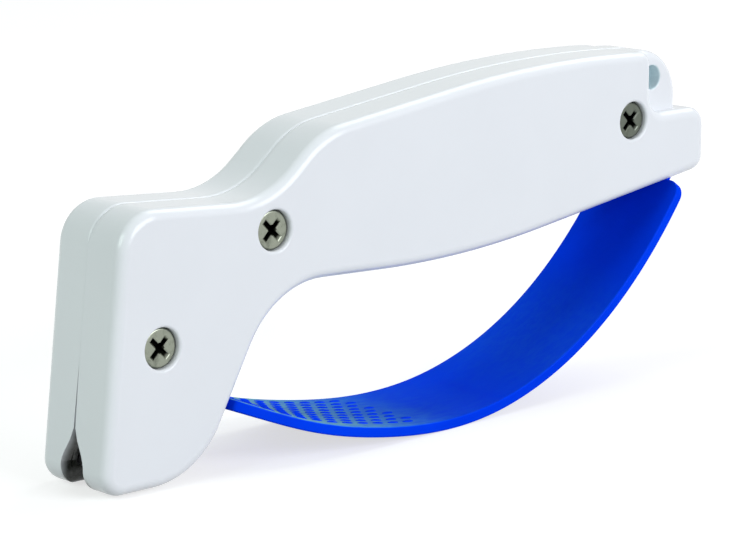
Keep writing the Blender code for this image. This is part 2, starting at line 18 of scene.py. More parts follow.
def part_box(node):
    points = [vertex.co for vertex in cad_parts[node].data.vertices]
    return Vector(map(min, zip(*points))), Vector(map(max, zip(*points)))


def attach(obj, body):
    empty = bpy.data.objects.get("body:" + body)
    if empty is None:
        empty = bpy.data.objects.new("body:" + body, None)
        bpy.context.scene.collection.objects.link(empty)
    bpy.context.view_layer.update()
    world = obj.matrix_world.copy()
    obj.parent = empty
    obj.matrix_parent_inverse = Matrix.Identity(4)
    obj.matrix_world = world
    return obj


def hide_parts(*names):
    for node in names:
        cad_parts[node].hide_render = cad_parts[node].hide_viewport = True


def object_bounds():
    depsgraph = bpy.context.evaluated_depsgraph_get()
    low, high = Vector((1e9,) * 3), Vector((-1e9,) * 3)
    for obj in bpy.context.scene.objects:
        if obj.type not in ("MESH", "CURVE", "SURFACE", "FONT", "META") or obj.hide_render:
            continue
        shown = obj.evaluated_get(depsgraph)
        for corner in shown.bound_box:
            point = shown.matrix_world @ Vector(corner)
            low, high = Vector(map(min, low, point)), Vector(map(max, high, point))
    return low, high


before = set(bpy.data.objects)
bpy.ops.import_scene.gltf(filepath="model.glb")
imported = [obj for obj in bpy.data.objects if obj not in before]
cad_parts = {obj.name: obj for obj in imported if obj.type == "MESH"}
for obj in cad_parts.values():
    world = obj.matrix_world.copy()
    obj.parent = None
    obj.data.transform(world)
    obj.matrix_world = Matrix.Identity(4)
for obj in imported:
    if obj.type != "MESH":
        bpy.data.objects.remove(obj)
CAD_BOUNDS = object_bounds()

MM = 0.001
CORNERS = ((-1, -1), (1, -1), (1, 1), (-1, 1))
LOG = logging.getLogger("sharpener")
Point = tuple[float, float]
Triple = tuple[float, float, float]
Ring = list[Triple]


class Side(Enum):
    """The two halves of the body, by the sign of their Y."""

    NEAR = -1
    FAR = 1


class Cut(Enum):
    """How one solid is combined with another."""

    AWAY = "DIFFERENCE"
    JOINED = "UNION"
    SHARED = "INTERSECT"


# Shader maths


class Wire:
    """A node's output socket that turns Python arithmetic into Math nodes."""

    def __init__(self, bench: "Bench", socket: bpy.types.NodeSocket) -> None:
        """Keeps the socket and the bench that its nodes go on."""
        self.bench = bench
        self.socket = socket

    def maths(self, operation: str, *values: Any) -> "Wire":
        """Adds a Math node on the values in their order, or on this wire alone."""
        inputs = dict(enumerate(values or (self,)))
        return self.bench.add("ShaderNodeMath", {"operation": operation}, inputs)

    def __add__(self, other: Any) -> "Wire":
        """Sum."""
        return self.maths("ADD", self, other)

    def __radd__(self, other: Any) -> "Wire":
        """Sum with the wire on the right."""
        return self.maths("ADD", other, self)

    def __sub__(self, other: Any) -> "Wire":
        """Difference."""
        return self.maths("SUBTRACT", self, other)

    def __rsub__(self, other: Any) -> "Wire":
        """Difference with the wire on the right."""
        return self.maths("SUBTRACT", other, self)

    def __mul__(self, other: Any) -> "Wire":
        """Product."""
        return self.maths("MULTIPLY", self, other)

    def __rmul__(self, other: Any) -> "Wire":
        """Product with the wire on the right."""
        return self.maths("MULTIPLY", other, self)

    def ramp(self, low: float, high: float) -> "Wire":
        """Smooth step of the wire.

        Args:
            low: value that gives 0.
            high: value that gives 1.

        Returns:
            A wire from 0 to 1.
        """
        settings = {"interpolation_type": "SMOOTHSTEP"}
        return self.bench.add("ShaderNodeMapRange", settings, {0: self, 1: low, 2: high})


class Bench:
    """Node tree of a material, a world or a node group, with one method that adds any node."""

    def __init__(self, owner: bpy.types.ID) -> None:
        """Empties the owner's tree.

        Args:
            owner: the material, the world or the node group itself.
        """
        self.owner = owner
        if not isinstance(owner, bpy.types.NodeTree):
            owner.use_nodes = True
        self.tree = getattr(owner, "node_tree", owner)
        self.tree.nodes.clear()

    def add(self, kind: str, settings: dict[str, Any] | None = None,
            inputs: dict[int | str, Any] | None = None, output: int | str = 0) -> Wire:
        """Adds a node.

        Args:
            kind: the node's type.
            settings: its properties, set before its sockets.
            inputs: values or wires by socket name or number.
            output: the socket that the wire returned stands for.

        Returns:
            The wire of that output.
        """
        node = self.tree.nodes.new(kind)
        for key, value in (settings or {}).items():
            setattr(node, key, value)
        for key, value in (inputs or {}).items():
            if isinstance(value, Wire):
                self.tree.links.new(value.socket, node.inputs[key])
            else:
                node.inputs[key].default_value = value
        return Wire(self, node.outputs[output])

    def mix(self, share: Any, first: Any, second: Any) -> Wire:
        """Mixes two colours.

        Args:
            share: the second colour's share, a wire or a number.
            first: colour or wire.
            second: colour or wire.

        Returns:
            The wire of the mixed colour.
        """
        return self.add("ShaderNodeMix", {"data_type": "RGBA"}, {0: share, 6: first, 7: second}, output=2)

    def place(self, centre: Sequence[float] = (0.0, 0.0, 0.0), stretch: Sequence[float] = (1.0, 1.0, 1.0),
              turn: Sequence[float] = (0.0, 0.0, 0.0)) -> Wire:
        """Object coordinates, centred, turned and stretched for a pattern.

        Args:
            centre: point of the piece that becomes the pattern's origin.
            stretch: scale of the pattern along each axis.
            turn: angles about each axis.

        Returns:
            The wire of the coordinates.
        """
        raw = self.add("ShaderNodeTexCoord", output="Object")
        offset = self.add("ShaderNodeVectorMath", {"operation": "SUBTRACT"}, {0: raw, 1: tuple(centre)})
        inputs = {"Vector": offset, "Rotation": tuple(turn), "Scale": tuple(stretch)}
        return self.add("ShaderNodeMapping", {}, inputs)

    def apart(self, where: Wire) -> tuple[Wire, Wire, Wire]:
        """Separate X, Y and Z of coordinates."""
        x, y, z = self.add("ShaderNodeSeparateXYZ", {}, {0: where}).socket.node.outputs
        return Wire(self, x), Wire(self, y), Wire(self, z)

    def noise(self, where: Wire, scale: float, detail: float = 2.0, rough: float = 0.5) -> Wire:
        """Noise texture's value.

        Args:
            where: coordinates.
            scale: cells per metre.
            detail: octaves.
            rough: weight of the finer octaves.

        Returns:
            A wire around one half.
        """
        inputs = {"Vector": where, "Scale": scale, "Detail": detail, "Roughness": rough}
        return self.add("ShaderNodeTexNoise", {}, inputs)

    def bump(self, height: Wire, strength: float, depth: float, below: Wire | None = None) -> Wire:
        """Bump node.

        Args:
            height: wire of the height.
            strength: share of the effect.
            depth: height of the pattern in metres.
            below: a normal to build on.

        Returns:
            The wire of the normal.
        """
        inputs = {"Strength": strength, "Distance": depth, "Height": height}
        if below is not None:
            inputs["Normal"] = below
        return self.add("ShaderNodeBump", {}, inputs)

    def surface(self, **inputs: Any) -> bpy.types.Material:
        """Ends the material in a Principled shader.

        Args:
            inputs: values or wires by socket name, with _ for a space.

        Returns:
            The finished material.
        """
        named = {key.replace("_", " "): value for key, value in inputs.items()}
        shader = self.add("ShaderNodeBsdfPrincipled", {}, named)
        self.add_output(shader)
        return self.owner

    def add_output(self, wire: Wire, kind: str = "ShaderNodeOutputMaterial") -> None:
        """Links a wire to the first socket of a new output node."""
        self.tree.links.new(wire.socket, self.tree.nodes.new(kind).inputs[0])

    def reach(self, centre: Sequence[float]) -> Wire:
        """Distance from the line along Y through a point."""
        where = self.place(centre, (1.0, 0.0, 1.0))
        return self.add("ShaderNodeVectorMath", {"operation": "LENGTH"}, {0: where}, output="Value")

    def seen(self) -> Wire:
        """1 where the camera, a gloss or a glass looks, 0 for other rays.

        Returns:
            The wire.
        """
        wire = self.add("ShaderNodeLightPath", output="Is Camera Ray")
        for kind in ("Is Glossy Ray", "Is Transmission Ray"):
            wire = wire.maths("MAXIMUM", wire, self.add("ShaderNodeLightPath", output=kind))
        return wire


# Finishes


@dataclass(frozen=True)
class MouldedPlastic:
    """Injection-moulded plastic: even colour, faint clouding, fine mould grain and a few dull scuffs."""

    name: str
    colour: Triple
    clouded: Triple
    roughness: float
    grain_scale: float = 2600.0
    grain_depth: float = 0.012 * MM
    grain_strength: float = 0.5
    cloud_scale: float = 55.0
    cloud_range: Point = (0.35, 0.7)
    scuff_scale: float = 260.0
    scuff_stretch: Triple = (1.0, 1.0, 0.22)
    scuff_turn: Triple = (0.3, 0.5, 0.2)
    scuff_range: Point = (0.56, 0.78)
    scuff_dulling: float = 0.05
    dull_scale: float = 165.0
    dull_share: float = 0.3
    polish_share: float = 0.85
    sink_scale: float = 38.0
    sink_depth: float = 0.05 * MM
    sink_strength: float = 0.35
    gloss: float = 0.5
    sheen: float = 0.0
    sheen_roughness: float = 0.25

    def add_dirt_and_painted_light(self, bench: Bench, colour: Wire) -> Wire:
        """Colour with the dirt of its use and any painted light or shade, none on clean plastic."""
        return colour

    def make(self) -> bpy.types.Material:
        """Builds the material.

        Returns:
            The material.
        """
        bench = Bench(bpy.data.materials.new(self.name))
        where = bench.place()
        clouds = bench.noise(where, self.cloud_scale, detail=3.0).ramp(*self.cloud_range)
        colour = self.add_dirt_and_painted_light(bench, bench.mix(clouds, (*self.colour, 1.0), (*self.clouded, 1.0)))
        streaks = bench.place(stretch=self.scuff_stretch, turn=self.scuff_turn)
        scuffs = bench.noise(streaks, self.scuff_scale, detail=4.0, rough=0.65).ramp(*self.scuff_range)
        dull = bench.noise(where, self.dull_scale) * (self.roughness * self.dull_share)
        roughness = dull + scuffs * self.scuff_dulling + self.roughness * self.polish_share
        sinks = bench.noise(where, self.sink_scale, detail=1.0)
        sunk = bench.bump(sinks, self.sink_strength, self.sink_depth)
        grain = bench.noise(where, self.grain_scale)
        normal = bench.bump(grain, self.grain_strength, self.grain_depth, below=sunk)
        return bench.surface(Base_Color=colour, Roughness=roughness, Specular_IOR_Level=self.gloss,
                             Coat_Weight=self.sheen, Coat_Roughness=self.sheen_roughness, Normal=normal)


@dataclass(frozen=True)
class ShellPlastic(MouldedPlastic):
    """White plastic of the shells, darkened in the knife slot by filings and painted shade, and with a
    bluish painted shade in the cord hole.
    """

    front: float = 0.0
    front_slope: float = 0.0
    slot_half: float = 2.9 * MM
    slot_top: float = 10.6 * MM
    # Near-black of the slot walls: filings and painted shade.
    slot_filings_and_shade: Triple = (0.022, 0.026, 0.018)
    shallow: float = 0.04 * MM
    deep: float = 1.7 * MM
    blur: float = 0.9 * MM
    patch_scale: float = 700.0
    patch_contrast: float = 0.5
    patch_base: float = 0.72
    hole_x: float = 0.0
    hole_z: float = 0.0
    hole_radius: float = 0.0
    hole_blur: float = 0.25 * MM
    # Bluish painted shade inside the cord hole.
    painted_hole_shade: Triple = (0.82, 0.96, 1.0)

    def add_dirt_and_painted_light(self, bench: Bench, colour: Wire) -> Wire:
        """Darkens the walls of the slot with filings and painted shade, more with the depth behind the
        front, and paints a bluish shade in the cord hole.

        Args:
            bench: the material's bench.
            colour: the clean colour.

        Returns:
            The wire of the colour with its filings and painted shade.
        """
        x, y, z = bench.apart(bench.place())
        # Slot walls darkened by filings and painted shade, more with the depth behind the front.
        depth = (x - z * self.front_slope - self.front).ramp(self.shallow, self.deep)
        beside = y.maths("ABSOLUTE").ramp(self.slot_half, self.slot_half + self.blur)
        above = z.ramp(self.slot_top, self.slot_top + self.blur)
        patchy = bench.noise(bench.place(), self.patch_scale, detail=4.0, rough=0.6)
        share = depth * (1 - beside) * (1 - above) * (patchy * self.patch_contrast + self.patch_base)
        colour = bench.mix(share, colour, (*self.slot_filings_and_shade, 1.0))
        # Bluish painted shade on the cord hole's wall.
        reach = bench.reach((self.hole_x, 0.0, self.hole_z))
        outside = reach.ramp(self.hole_radius, self.hole_radius + self.hole_blur)
        return bench.mix(1 - outside, colour, (*self.painted_hole_shade, 1.0))


@dataclass(frozen=True)
class GuardPlastic(MouldedPlastic):
    """Blue plastic of the guard, with a painted sheen and painted shade where the piece's own attribute says
    so.
    """

    # Colours of the painted sheen, thin and thick; both also darken the blue as painted shade.
    thin_painted_sheen: Triple = (0.03, 0.4, 0.55)
    thick_painted_sheen: Triple = (0.28, 0.6, 0.6)
    streak_scale: float = 900.0
    streak_stretch: Triple = (0.35, 1.0, 1.0)
    streak_range: Point = (0.3, 0.7)
    streak_contrast: float = 0.6
    streak_base: float = 0.7

    def add_dirt_and_painted_light(self, bench: Bench, colour: Wire) -> Wire:
        """Lays a painted sheen over the colour, in streaks; where it lies it also darkens the blue, a
        painted shade.

        Args:
            bench: the material's bench.
            colour: the clean colour.

        Returns:
            The wire of the colour with its painted sheen and painted shade.
        """
        # Share of painted sheen and painted shade, laid on the strip's points.
        film_and_sheen = bench.add("ShaderNodeAttribute", {"attribute_name": "film_and_sheen"}, output="Fac")
        where = bench.place(stretch=self.streak_stretch)
        streaks = bench.noise(where, self.streak_scale, detail=4.0, rough=0.6).ramp(*self.streak_range)
        sheen_colour = bench.mix(film_and_sheen, (*self.thin_painted_sheen, 1.0), (*self.thick_painted_sheen, 1.0))
        return bench.mix(film_and_sheen * (streaks * self.streak_contrast + self.streak_base), colour, sheen_colour)


@dataclass(frozen=True)
class TurnedNickel:
    """Nickel plate over turned steel, with rings round one axis along Y, dark film in patches, and dirt with
    painted shade down the recess round the axis.
    """

    name: str
    centre: Triple
    colour: Triple = (0.29, 0.31, 0.25)
    film_and_sheen: Triple = (0.1, 0.11, 0.085)
    # Near-black down the recess: dirt and painted shade.
    dirt_and_shade: Triple = (0.006, 0.007, 0.005)
    film_share: float = 0.7
    film_scale: float = 420.0
    film_range: Point = (0.48, 0.74)
    film_dulling: float = 0.22
    dirt_and_shade_start: Point = (0.14 * MM, 0.6 * MM)
    dirt_and_shade_end: Point = (1.9 * MM, 2.09 * MM)
    dirt_and_shade_reach: Point = (2.0 * MM, 2.4 * MM)
    roughness: float = 0.26
    ring_scale: float = 31200.0
    ring_share: float = 0.5
    grit_scale: float = 5200.0
    grit_dulling: float = 0.12
    grit_strength: float = 0.25
    grit_depth: float = 0.006 * MM

    def make(self) -> bpy.types.Material:
        """Builds the material.

        Returns:
            The material.
        """
        bench = Bench(bpy.data.materials.new(self.name))
        where, reach = bench.place(self.centre), bench.reach(self.centre)
        patches = bench.noise(where, self.film_scale, detail=4.0, rough=0.6).ramp(*self.film_range)
        colour = bench.mix(patches * self.film_share, (*self.colour, 1.0), (*self.film_and_sheen, 1.0))
        # Dirt and painted shade down the recess, from just under the face to near the bottom, close to the
        # axis.
        sunk = bench.apart(where)[1].maths("ABSOLUTE")
        bore = sunk.ramp(*self.dirt_and_shade_start) * (1 - sunk.ramp(*self.dirt_and_shade_end))
        bore = bore * (1 - reach.ramp(*self.dirt_and_shade_reach))
        colour = bench.mix(bore, colour, (*self.dirt_and_shade, 1.0))
        rings = (reach * self.ring_scale).maths("SINE")
        grit = bench.noise(where, self.grit_scale)
        roughness = patches * self.film_dulling + grit * self.grit_dulling + self.roughness
        normal = bench.bump(rings * self.ring_share + grit, self.grit_strength, self.grit_depth)
        return bench.surface(Base_Color=colour, Metallic=1.0, Roughness=roughness, Normal=normal)


@dataclass(frozen=True)
class GroundCarbide:
    """Dark sintered carbide with parallel grinding marks across the bar."""

    name: str
    lean: float
    colour: Triple = (0.16, 0.16, 0.17)
    pale: Triple = (0.30, 0.30, 0.32)
    roughness: float = 0.3
    mark_scale: float = 900.0
    mark_stretch: Triple = (1.0, 0.06, 1.0)
    mark_range: Point = (0.35, 0.7)
    mark_dulling: float = 0.18
    mark_strength: float = 0.4
    mark_depth: float = 0.01 * MM
    speck_scale: float = 3600.0
    speck_range: Point = (0.6, 0.8)
    speck_dulling: float = 0.2

    def make(self) -> bpy.types.Material:
        """Builds the material.

        Returns:
            The material.
        """
        bench = Bench(bpy.data.materials.new(self.name))
        where = bench.place(stretch=self.mark_stretch, turn=(self.lean, 0.0, 0.0))
        marks = bench.noise(where, self.mark_scale, detail=3.0, rough=0.7)
        specks = bench.noise(bench.place(), self.speck_scale, detail=1.0).ramp(*self.speck_range)
        colour = bench.mix(marks.ramp(*self.mark_range), (*self.colour, 1.0), (*self.pale, 1.0))
        roughness = marks * self.mark_dulling + specks * self.speck_dulling + self.roughness
        normal = bench.bump(marks, self.mark_strength, self.mark_depth)
        return bench.surface(Base_Color=colour, Metallic=1.0, Roughness=roughness, Normal=normal)


# Plane geometry


@dataclass(frozen=True)
class Outline:
    """Loop of corners with fillets, walked with its inside on the left."""

    corners: tuple[Point, ...]
    radii: tuple[float, ...]
    arc_step: float = math.radians(5.0)
    chord: float = 2.4 * MM
    least_radius: float = 0.15 * MM

    def moved(self, inset: float) -> list[np.ndarray]:
        """Corners after each side has moved inwards.

        Args:
            inset: distance that the sides move.

        Returns:
            The new corners.
        """
        count = len(self.corners)
        found = []
        for i in range(count):
            before, here, after = (np.array(self.corners[(i + k) % count]) for k in (-1, 0, 1))
            u = (here - before) / np.linalg.norm(here - before)
            v = (after - here) / np.linalg.norm(after - here)
            left_u, left_v = np.array((-u[1], u[0])), np.array((-v[1], v[0]))
            found.append(here + (left_u + left_v) / (1 + left_u @ left_v) * inset)
        return found

    def turns(self) -> list[float]:
        """Signed turn at each corner.

        Returns:
            The angles, positive to the left.
        """
        count = len(self.corners)
        found = []
        for i in range(count):
            a = np.subtract(self.corners[i], self.corners[i - 1])
            b = np.subtract(self.corners[(i + 1) % count], self.corners[i])
            found.append(math.atan2(a[0] * b[1] - a[1] * b[0], a @ b))
        return found

    @staticmethod
    def held(corners: Sequence[Any], turns: Sequence[float], radii: Sequence[float]) -> list[float]:
        """Length that each fillet takes from its sides, held back where a side is too short.

        Args:
            corners: the loop's corners.
            turns: the turn at each.
            radii: the fillet wanted at each.

        Returns:
            The length at each corner.
        """
        count = len(corners)
        wanted = [radii[i] * math.tan(abs(turns[i]) / 2) for i in range(count)]
        found = list(wanted)
        for i in range(count):
            j = (i + 1) % count
            side = np.linalg.norm(np.subtract(corners[j], corners[i]))
            both = wanted[i] + wanted[j]
            if both > side:
                for k in (i, j):
                    found[k] = min(found[k], wanted[k] * side / both)
        return found

    def points(self, inset: float = 0.0) -> list[Point]:
        """Points of the outline, as many for every inset.

        Args:
            inset: distance that the outline moves inwards.

        Returns:
            The points in order.
        """
        turns = self.turns()
        base = self.held(self.corners, turns, self.radii)
        corners = self.moved(inset)
        radii = []
        for length, turn in zip(base, turns):
            radius = length / math.tan(abs(turn) / 2) - math.copysign(inset, turn)
            radii.append(max(radius, self.least_radius))
        lengths = self.held(corners, turns, radii)
        found = []
        for i, corner in enumerate(corners):
            u = corner - corners[i - 1]
            u = u / np.linalg.norm(u)
            half = math.tan(abs(turns[i]) / 2)
            radius, sweep = lengths[i] / half, abs(turns[i])
            steps = max(2, math.ceil(sweep / self.arc_step), math.ceil(base[i] / half * sweep / self.chord))
            start = corner - u * lengths[i]
            centre = start + np.array((-u[1], u[0])) * math.copysign(radius, turns[i])
            spoke = start - centre
            for k in range(steps + 1):
                c, s = math.cos(turns[i] * k / steps), math.sin(turns[i] * k / steps)
                x = centre[0] + spoke[0] * c - spoke[1] * s
                z = centre[1] + spoke[0] * s + spoke[1] * c
                found.append((float(x), float(z)))
        return found


def quarter(count: int) -> list[Point]:
    """1 - cos and 1 - sin of angles over a quarter turn, for rounded edges."""
    return [(1 - math.cos(a), 1 - math.sin(a)) for a in np.linspace(0.0, math.pi / 2, count)]


class Curve:
    """Natural spline through points, run by the distance along their chords."""

    def __init__(self, points: Sequence[Point]) -> None:
        """Fits the spline.

        Args:
            points: the points that it runs through.
        """
        self.points = np.array(points)
        chords = np.linalg.norm(np.diff(self.points, axis=0), axis=1)
        self.knots = np.concatenate(([0.0], np.cumsum(chords)))
        count = len(points)
        matrix, right = np.eye(count), np.zeros((count, 2))
        slopes = np.diff(self.points, axis=0) / chords[:, None]
        for i in range(1, count - 1):
            matrix[i, i - 1:i + 2] = chords[i - 1], 2 * (chords[i - 1] + chords[i]), chords[i]
            right[i] = 6 * (slopes[i] - slopes[i - 1])
        self.bend = np.linalg.solve(matrix, right)

    def at(self, distance: float) -> np.ndarray:
        """Point of the curve.

        Args:
            distance: distance along the chords.

        Returns:
            The point.
        """
        i = int(np.clip(np.searchsorted(self.knots, distance) - 1, 0, len(self.points) - 2))
        h = self.knots[i + 1] - self.knots[i]
        a = (self.knots[i + 1] - distance) / h
        b = (distance - self.knots[i]) / h
        cubic = ((a ** 3 - a) * self.bend[i] + (b ** 3 - b) * self.bend[i + 1]) * h * h / 6
        return a * self.points[i] + b * self.points[i + 1] + cubic


# Meshes


def add_object(name: str, data: bpy.types.ID) -> bpy.types.Object:
    """Puts an object of a mesh, a lamp or a camera in the scene.

    Args:
        name: the object's name.
        data: what it shows.

    Returns:
        The object, at the origin.
    """
    obj = bpy.data.objects.new(name, data)
    bpy.context.scene.collection.objects.link(obj)
    return obj


def new_piece(name: str, verts: Iterable[Sequence[float]],
              faces: Iterable[Sequence[int]]) -> bpy.types.Object:
    """Makes an object from points and faces, with its faces pointing out.

    Args:
        name: the object's name.
        verts: the points.
        faces: the faces, as point numbers.

    Returns:
        The object, at the origin.
    """
    mesh = bpy.data.meshes.new(name)
    mesh.from_pydata([tuple(map(float, v)) for v in verts], [], list(faces))
    bm = bmesh.new()
    bm.from_mesh(mesh)
    bmesh.ops.recalc_face_normals(bm, faces=bm.faces)
    bm.to_mesh(mesh)
    bm.free()
    return add_object(name, mesh)


def loft(name: str, rings: Sequence[Ring]) -> bpy.types.Object:
    """Closed solid through rings of equal length.

    Args:
        name: the object's name.
        rings: the rings in order.

    Returns:
        The object.
    """
    count, last = len(rings[0]), len(rings) - 1
    faces: list[tuple[int, ...]] = []
    for r in range(last):
        low, high = r * count, (r + 1) * count
        for i in range(count):
            j = (i + 1) % count
            faces.append((low + i, low + j, high + j, high + i))
    faces.append(tuple(range(count)))
    faces.append(tuple(range(last * count, (last + 1) * count)))
    return new_piece(name, [v for ring in rings for v in ring], faces)


def side_prism(name: str, outline: Sequence[Point], ends: Sequence[float]) -> bpy.types.Object:
    """Prism along Y on an outline of X and Z, between two places."""
    return loft(name, [[(x, y, z) for x, z in outline] for y in ends])


def cross_prism(name: str, outline: Sequence[Point], ends: Sequence[float]) -> bpy.types.Object:
    """Prism along X on an outline of Y and Z, between two places."""
    return loft(name, [[(x, y, z) for y, z in outline] for x in ends])


def turned(name: str, centre: Sequence[float], profile: Iterable[Point], segments: int = 64,
           phase: float = 0.0) -> bpy.types.Object:
    """Solid turned about a line along Y.

    Args:
        name: the object's name.
        centre: X and Z of the line.
        profile: radii and Y places in order.
        segments: points round the line.
        phase: angle of the first point.

    Returns:
        The object.
    """
    angles = [phase + 2 * math.pi * k / segments for k in range(segments)]
    rings = []
    for radius, y in profile:
        ring = [(centre[0] + radius * math.cos(a), y, centre[1] + radius * math.sin(a)) for a in angles]
        rings.append(ring)
    return loft(name, rings)


def combine(target: bpy.types.Object, tool: bpy.types.Object, how: Cut) -> None:
    """Applies a Boolean to the target's mesh and removes the tool.

    Args:
        target: the solid that changes.
        tool: the solid that is used up.
        how: the kind of Boolean.
    """
    modifier = target.modifiers.new(how.name, "BOOLEAN")
    modifier.operation = how.value
    modifier.solver = "EXACT"
    modifier.object = tool
    settle(target)
    bpy.data.objects.remove(tool, do_unlink=True)


def settle(obj: bpy.types.Object) -> None:
    """Replaces an object's mesh by what its modifiers make, and removes them.

    Args:
        obj: the object.
    """
    bpy.context.view_layer.update()
    graph = bpy.context.evaluated_depsgraph_get()
    mesh = bpy.data.meshes.new_from_object(obj.evaluated_get(graph))
    obj.modifiers.clear()
    obj.data = mesh


def smooth(obj: bpy.types.Object, crease: float = math.radians(32.0), merge: float = 0.002 * MM) -> None:
    """Merges doubles and shades smooth, with flat faces kept flat and sharp edges kept sharp.

    Args:
        obj: the piece.
        crease: angle above which an edge stays sharp.
        merge: distance under which points are merged.
    """
    bm = bmesh.new()
    bm.from_mesh(obj.data)
    bmesh.ops.remove_doubles(bm, verts=bm.verts, dist=merge)
    bmesh.ops.dissolve_degenerate(bm, dist=merge, edges=bm.edges)
    bm.to_mesh(obj.data)
    bm.free()
    obj.data.shade_smooth()
    obj.data.set_sharp_from_angle(angle=crease)
    weighted = obj.modifiers.new("even_normals", "WEIGHTED_NORMAL")
    weighted.keep_sharp = True
    settle(obj)


def dress(obj: bpy.types.Object, material: bpy.types.Material, body: str, slot: str, *nodes: str) -> None:
    """Gives a finished piece its material, its body and the nodes it stands for.

    Args:
        obj: the piece.
        material: its finish.
        body: the body that it rides on.
        slot: the record's material slot; not used.
        nodes: CAD nodes that it replaces.
    """
    obj.data.materials.clear()
    obj.data.materials.append(material)
    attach(obj, body)
    if nodes:
        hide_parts(*nodes)
    LOG.info("%s: %d faces on %s", obj.name, len(obj.data.polygons), body)


# Body of the sharpener


@dataclass(frozen=True)
class Build:
    """Sizes that the pieces share, and places written as shares of the body's length and height."""

    tail_end: float
    length: float = 139.2 * MM
    height: float = 59.5 * MM
    thickness: float = 17.0 * MM
    wall: float = 2.0 * MM
    clearance: float = 0.3 * MM
    overrun: float = 2.0 * MM
    embed: float = 0.6 * MM
    screw_shares: tuple[tuple[str, Point], ...] = (
        ("front", (0.0873, 0.3822)),
        ("middle", (0.2532, 0.6444)),
        ("tail", (0.8566, 0.7939)),
    )
    hole_shares: Point = (0.909, 0.909)
    chin_shares: Point = (0.0, 0.0084)
    heel_shares: Point = (0.1422, 0.0084)
    throat_shares: Point = (0.2565, 0.4941)
    belly_shares: Point = (0.5596, 0.4664)
    tail_low_shares: Point = (0.9958, 0.6168)
    tail_high_shares: Point = (0.9958, 0.805)
    step_shares: Point = (0.8913, 0.805)
    step_top_shares: Point = (0.8913, 0.993)
    tab_shares: Point = (0.9588, 0.9855)
    arch_shares: Point = (0.7083, 1.0134)
    shoulder_shares: Point = (0.3294, 0.8958)
    neck_shares: Point = (0.2443, 0.7267)
    brow_shares: Point = (0.0369, 0.7587)

    @property
    def half(self) -> float:
        """Half of the body's thickness."""
        return self.thickness / 2

    @property
    def x_start(self) -> float:
        """X where the shares of the length begin."""
        return self.tail_end - self.tail_low_shares[0] * self.length

    def place(self, shares: Point) -> Point:
        """X and Z of a place given in shares."""
        return (self.x_start + shares[0] * self.length, shares[1] * self.height)

    def front(self, height: float) -> float:
        """X at a height on the straight front of the head."""
        a, b = self.place(self.chin_shares), self.place(self.brow_shares)
        return a[0] + (b[0] - a[0]) * (height - a[1]) / (b[1] - a[1])

    def side_direction(self, first: Point, second: Point) -> tuple[np.ndarray, np.ndarray]:
        """A side between two places in shares.

        Args:
            first: where the side starts.
            second: where it ends.

        Returns:
            Its start and the direction square to it, out of the body.
        """
        a, b = np.array(self.place(first)), np.array(self.place(second))
        along = (b - a) / np.linalg.norm(b - a)
        return a, np.array((along[1], -along[0]))


BUILD = Build(tail_end=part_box("near_shell")[1].x)


@dataclass
class Blade:
    """One carbide bar, leaning across the parting plane behind the head's front wall."""

    build: Build
    name: str
    side: Side
    rank: int
    length: float = 14.0 * MM
    width: float = 4.0 * MM
    thickness: float = 1.5 * MM
    lean: float = math.radians(20.0)
    crossing_height: float = 9.2 * MM
    foot: float = 6.2 * MM
    setback: float = 3.0 * MM
    edge: float = 0.12 * MM

    @property
    def x_front(self) -> float:
        """X of the face nearest the head's front."""
        front = self.build.front(self.crossing_height)
        return front + self.setback + self.rank * (self.thickness + self.build.clearance)

    def point(self, along: float, across: float) -> Point:
        """Y and Z of a point of the bar, from the place where the bars cross.

        Args:
            along: distance down the bar.
            across: distance from its cutting edge.

        Returns:
            The point.
        """
        s = self.side.value
        y = s * (along * math.sin(self.lean) + across * math.cos(self.lean))
        return (y, self.crossing_height - along * math.cos(self.lean) + across * math.sin(self.lean))

    def outline(self, gap: float = 0.0) -> list[Point]:
        """Corners of the bar, or of the space that it needs.

        Args:
            gap: clearance round it.

        Returns:
            Toe, heel, top and crown.
        """
        top = self.foot - self.length
        return [
            self.point(self.foot + gap, -gap),
            self.point(self.foot + gap, self.width + gap),
            self.point(top - gap, self.width + gap),
            self.point(top - gap, -gap),
        ]

    def make(self) -> bpy.types.Object:
        """Builds the bar with its ground edges.

        Returns:
            The bar.
        """
        ends = (self.x_front, self.x_front + self.thickness)
        obj = cross_prism(self.name + "_bar", self.outline(), ends)
        bevel = obj.modifiers.new("ground_edges", "BEVEL")
        bevel.width, bevel.segments = self.edge, 2
        settle(obj)
        smooth(obj)
        return obj

    def pocket(self, side: Side) -> bpy.types.Object:
        """Space for the bar in one shell, open to the parting plane.

        Args:
            side: the shell.

        Returns:
            The cutter.
        """
        gap = self.build.clearance
        toe, heel, top, crown = self.outline(gap)
        if side is self.side:
            open_y = -self.side.value * self.build.overrun
            corners = [(open_y, toe[1]), toe, heel, top, (open_y, top[1])]
        else:
            corners = [self.point(self.build.overrun, -gap), crown, top]
        ends = (self.x_front - gap, self.x_front + self.thickness + gap)
        return cross_prism(self.name + "_pocket", corners, ends)

    def dress(self) -> None:
        """Makes the bar and gives it its finish."""
        finish = GroundCarbide(self.name + "_carbide", self.side.value * self.lean)
        rank_name = "front" if self.rank == 0 else "rear"
        dress(self.make(), finish.make(), "blade_" + rank_name, "carbide", self.name)


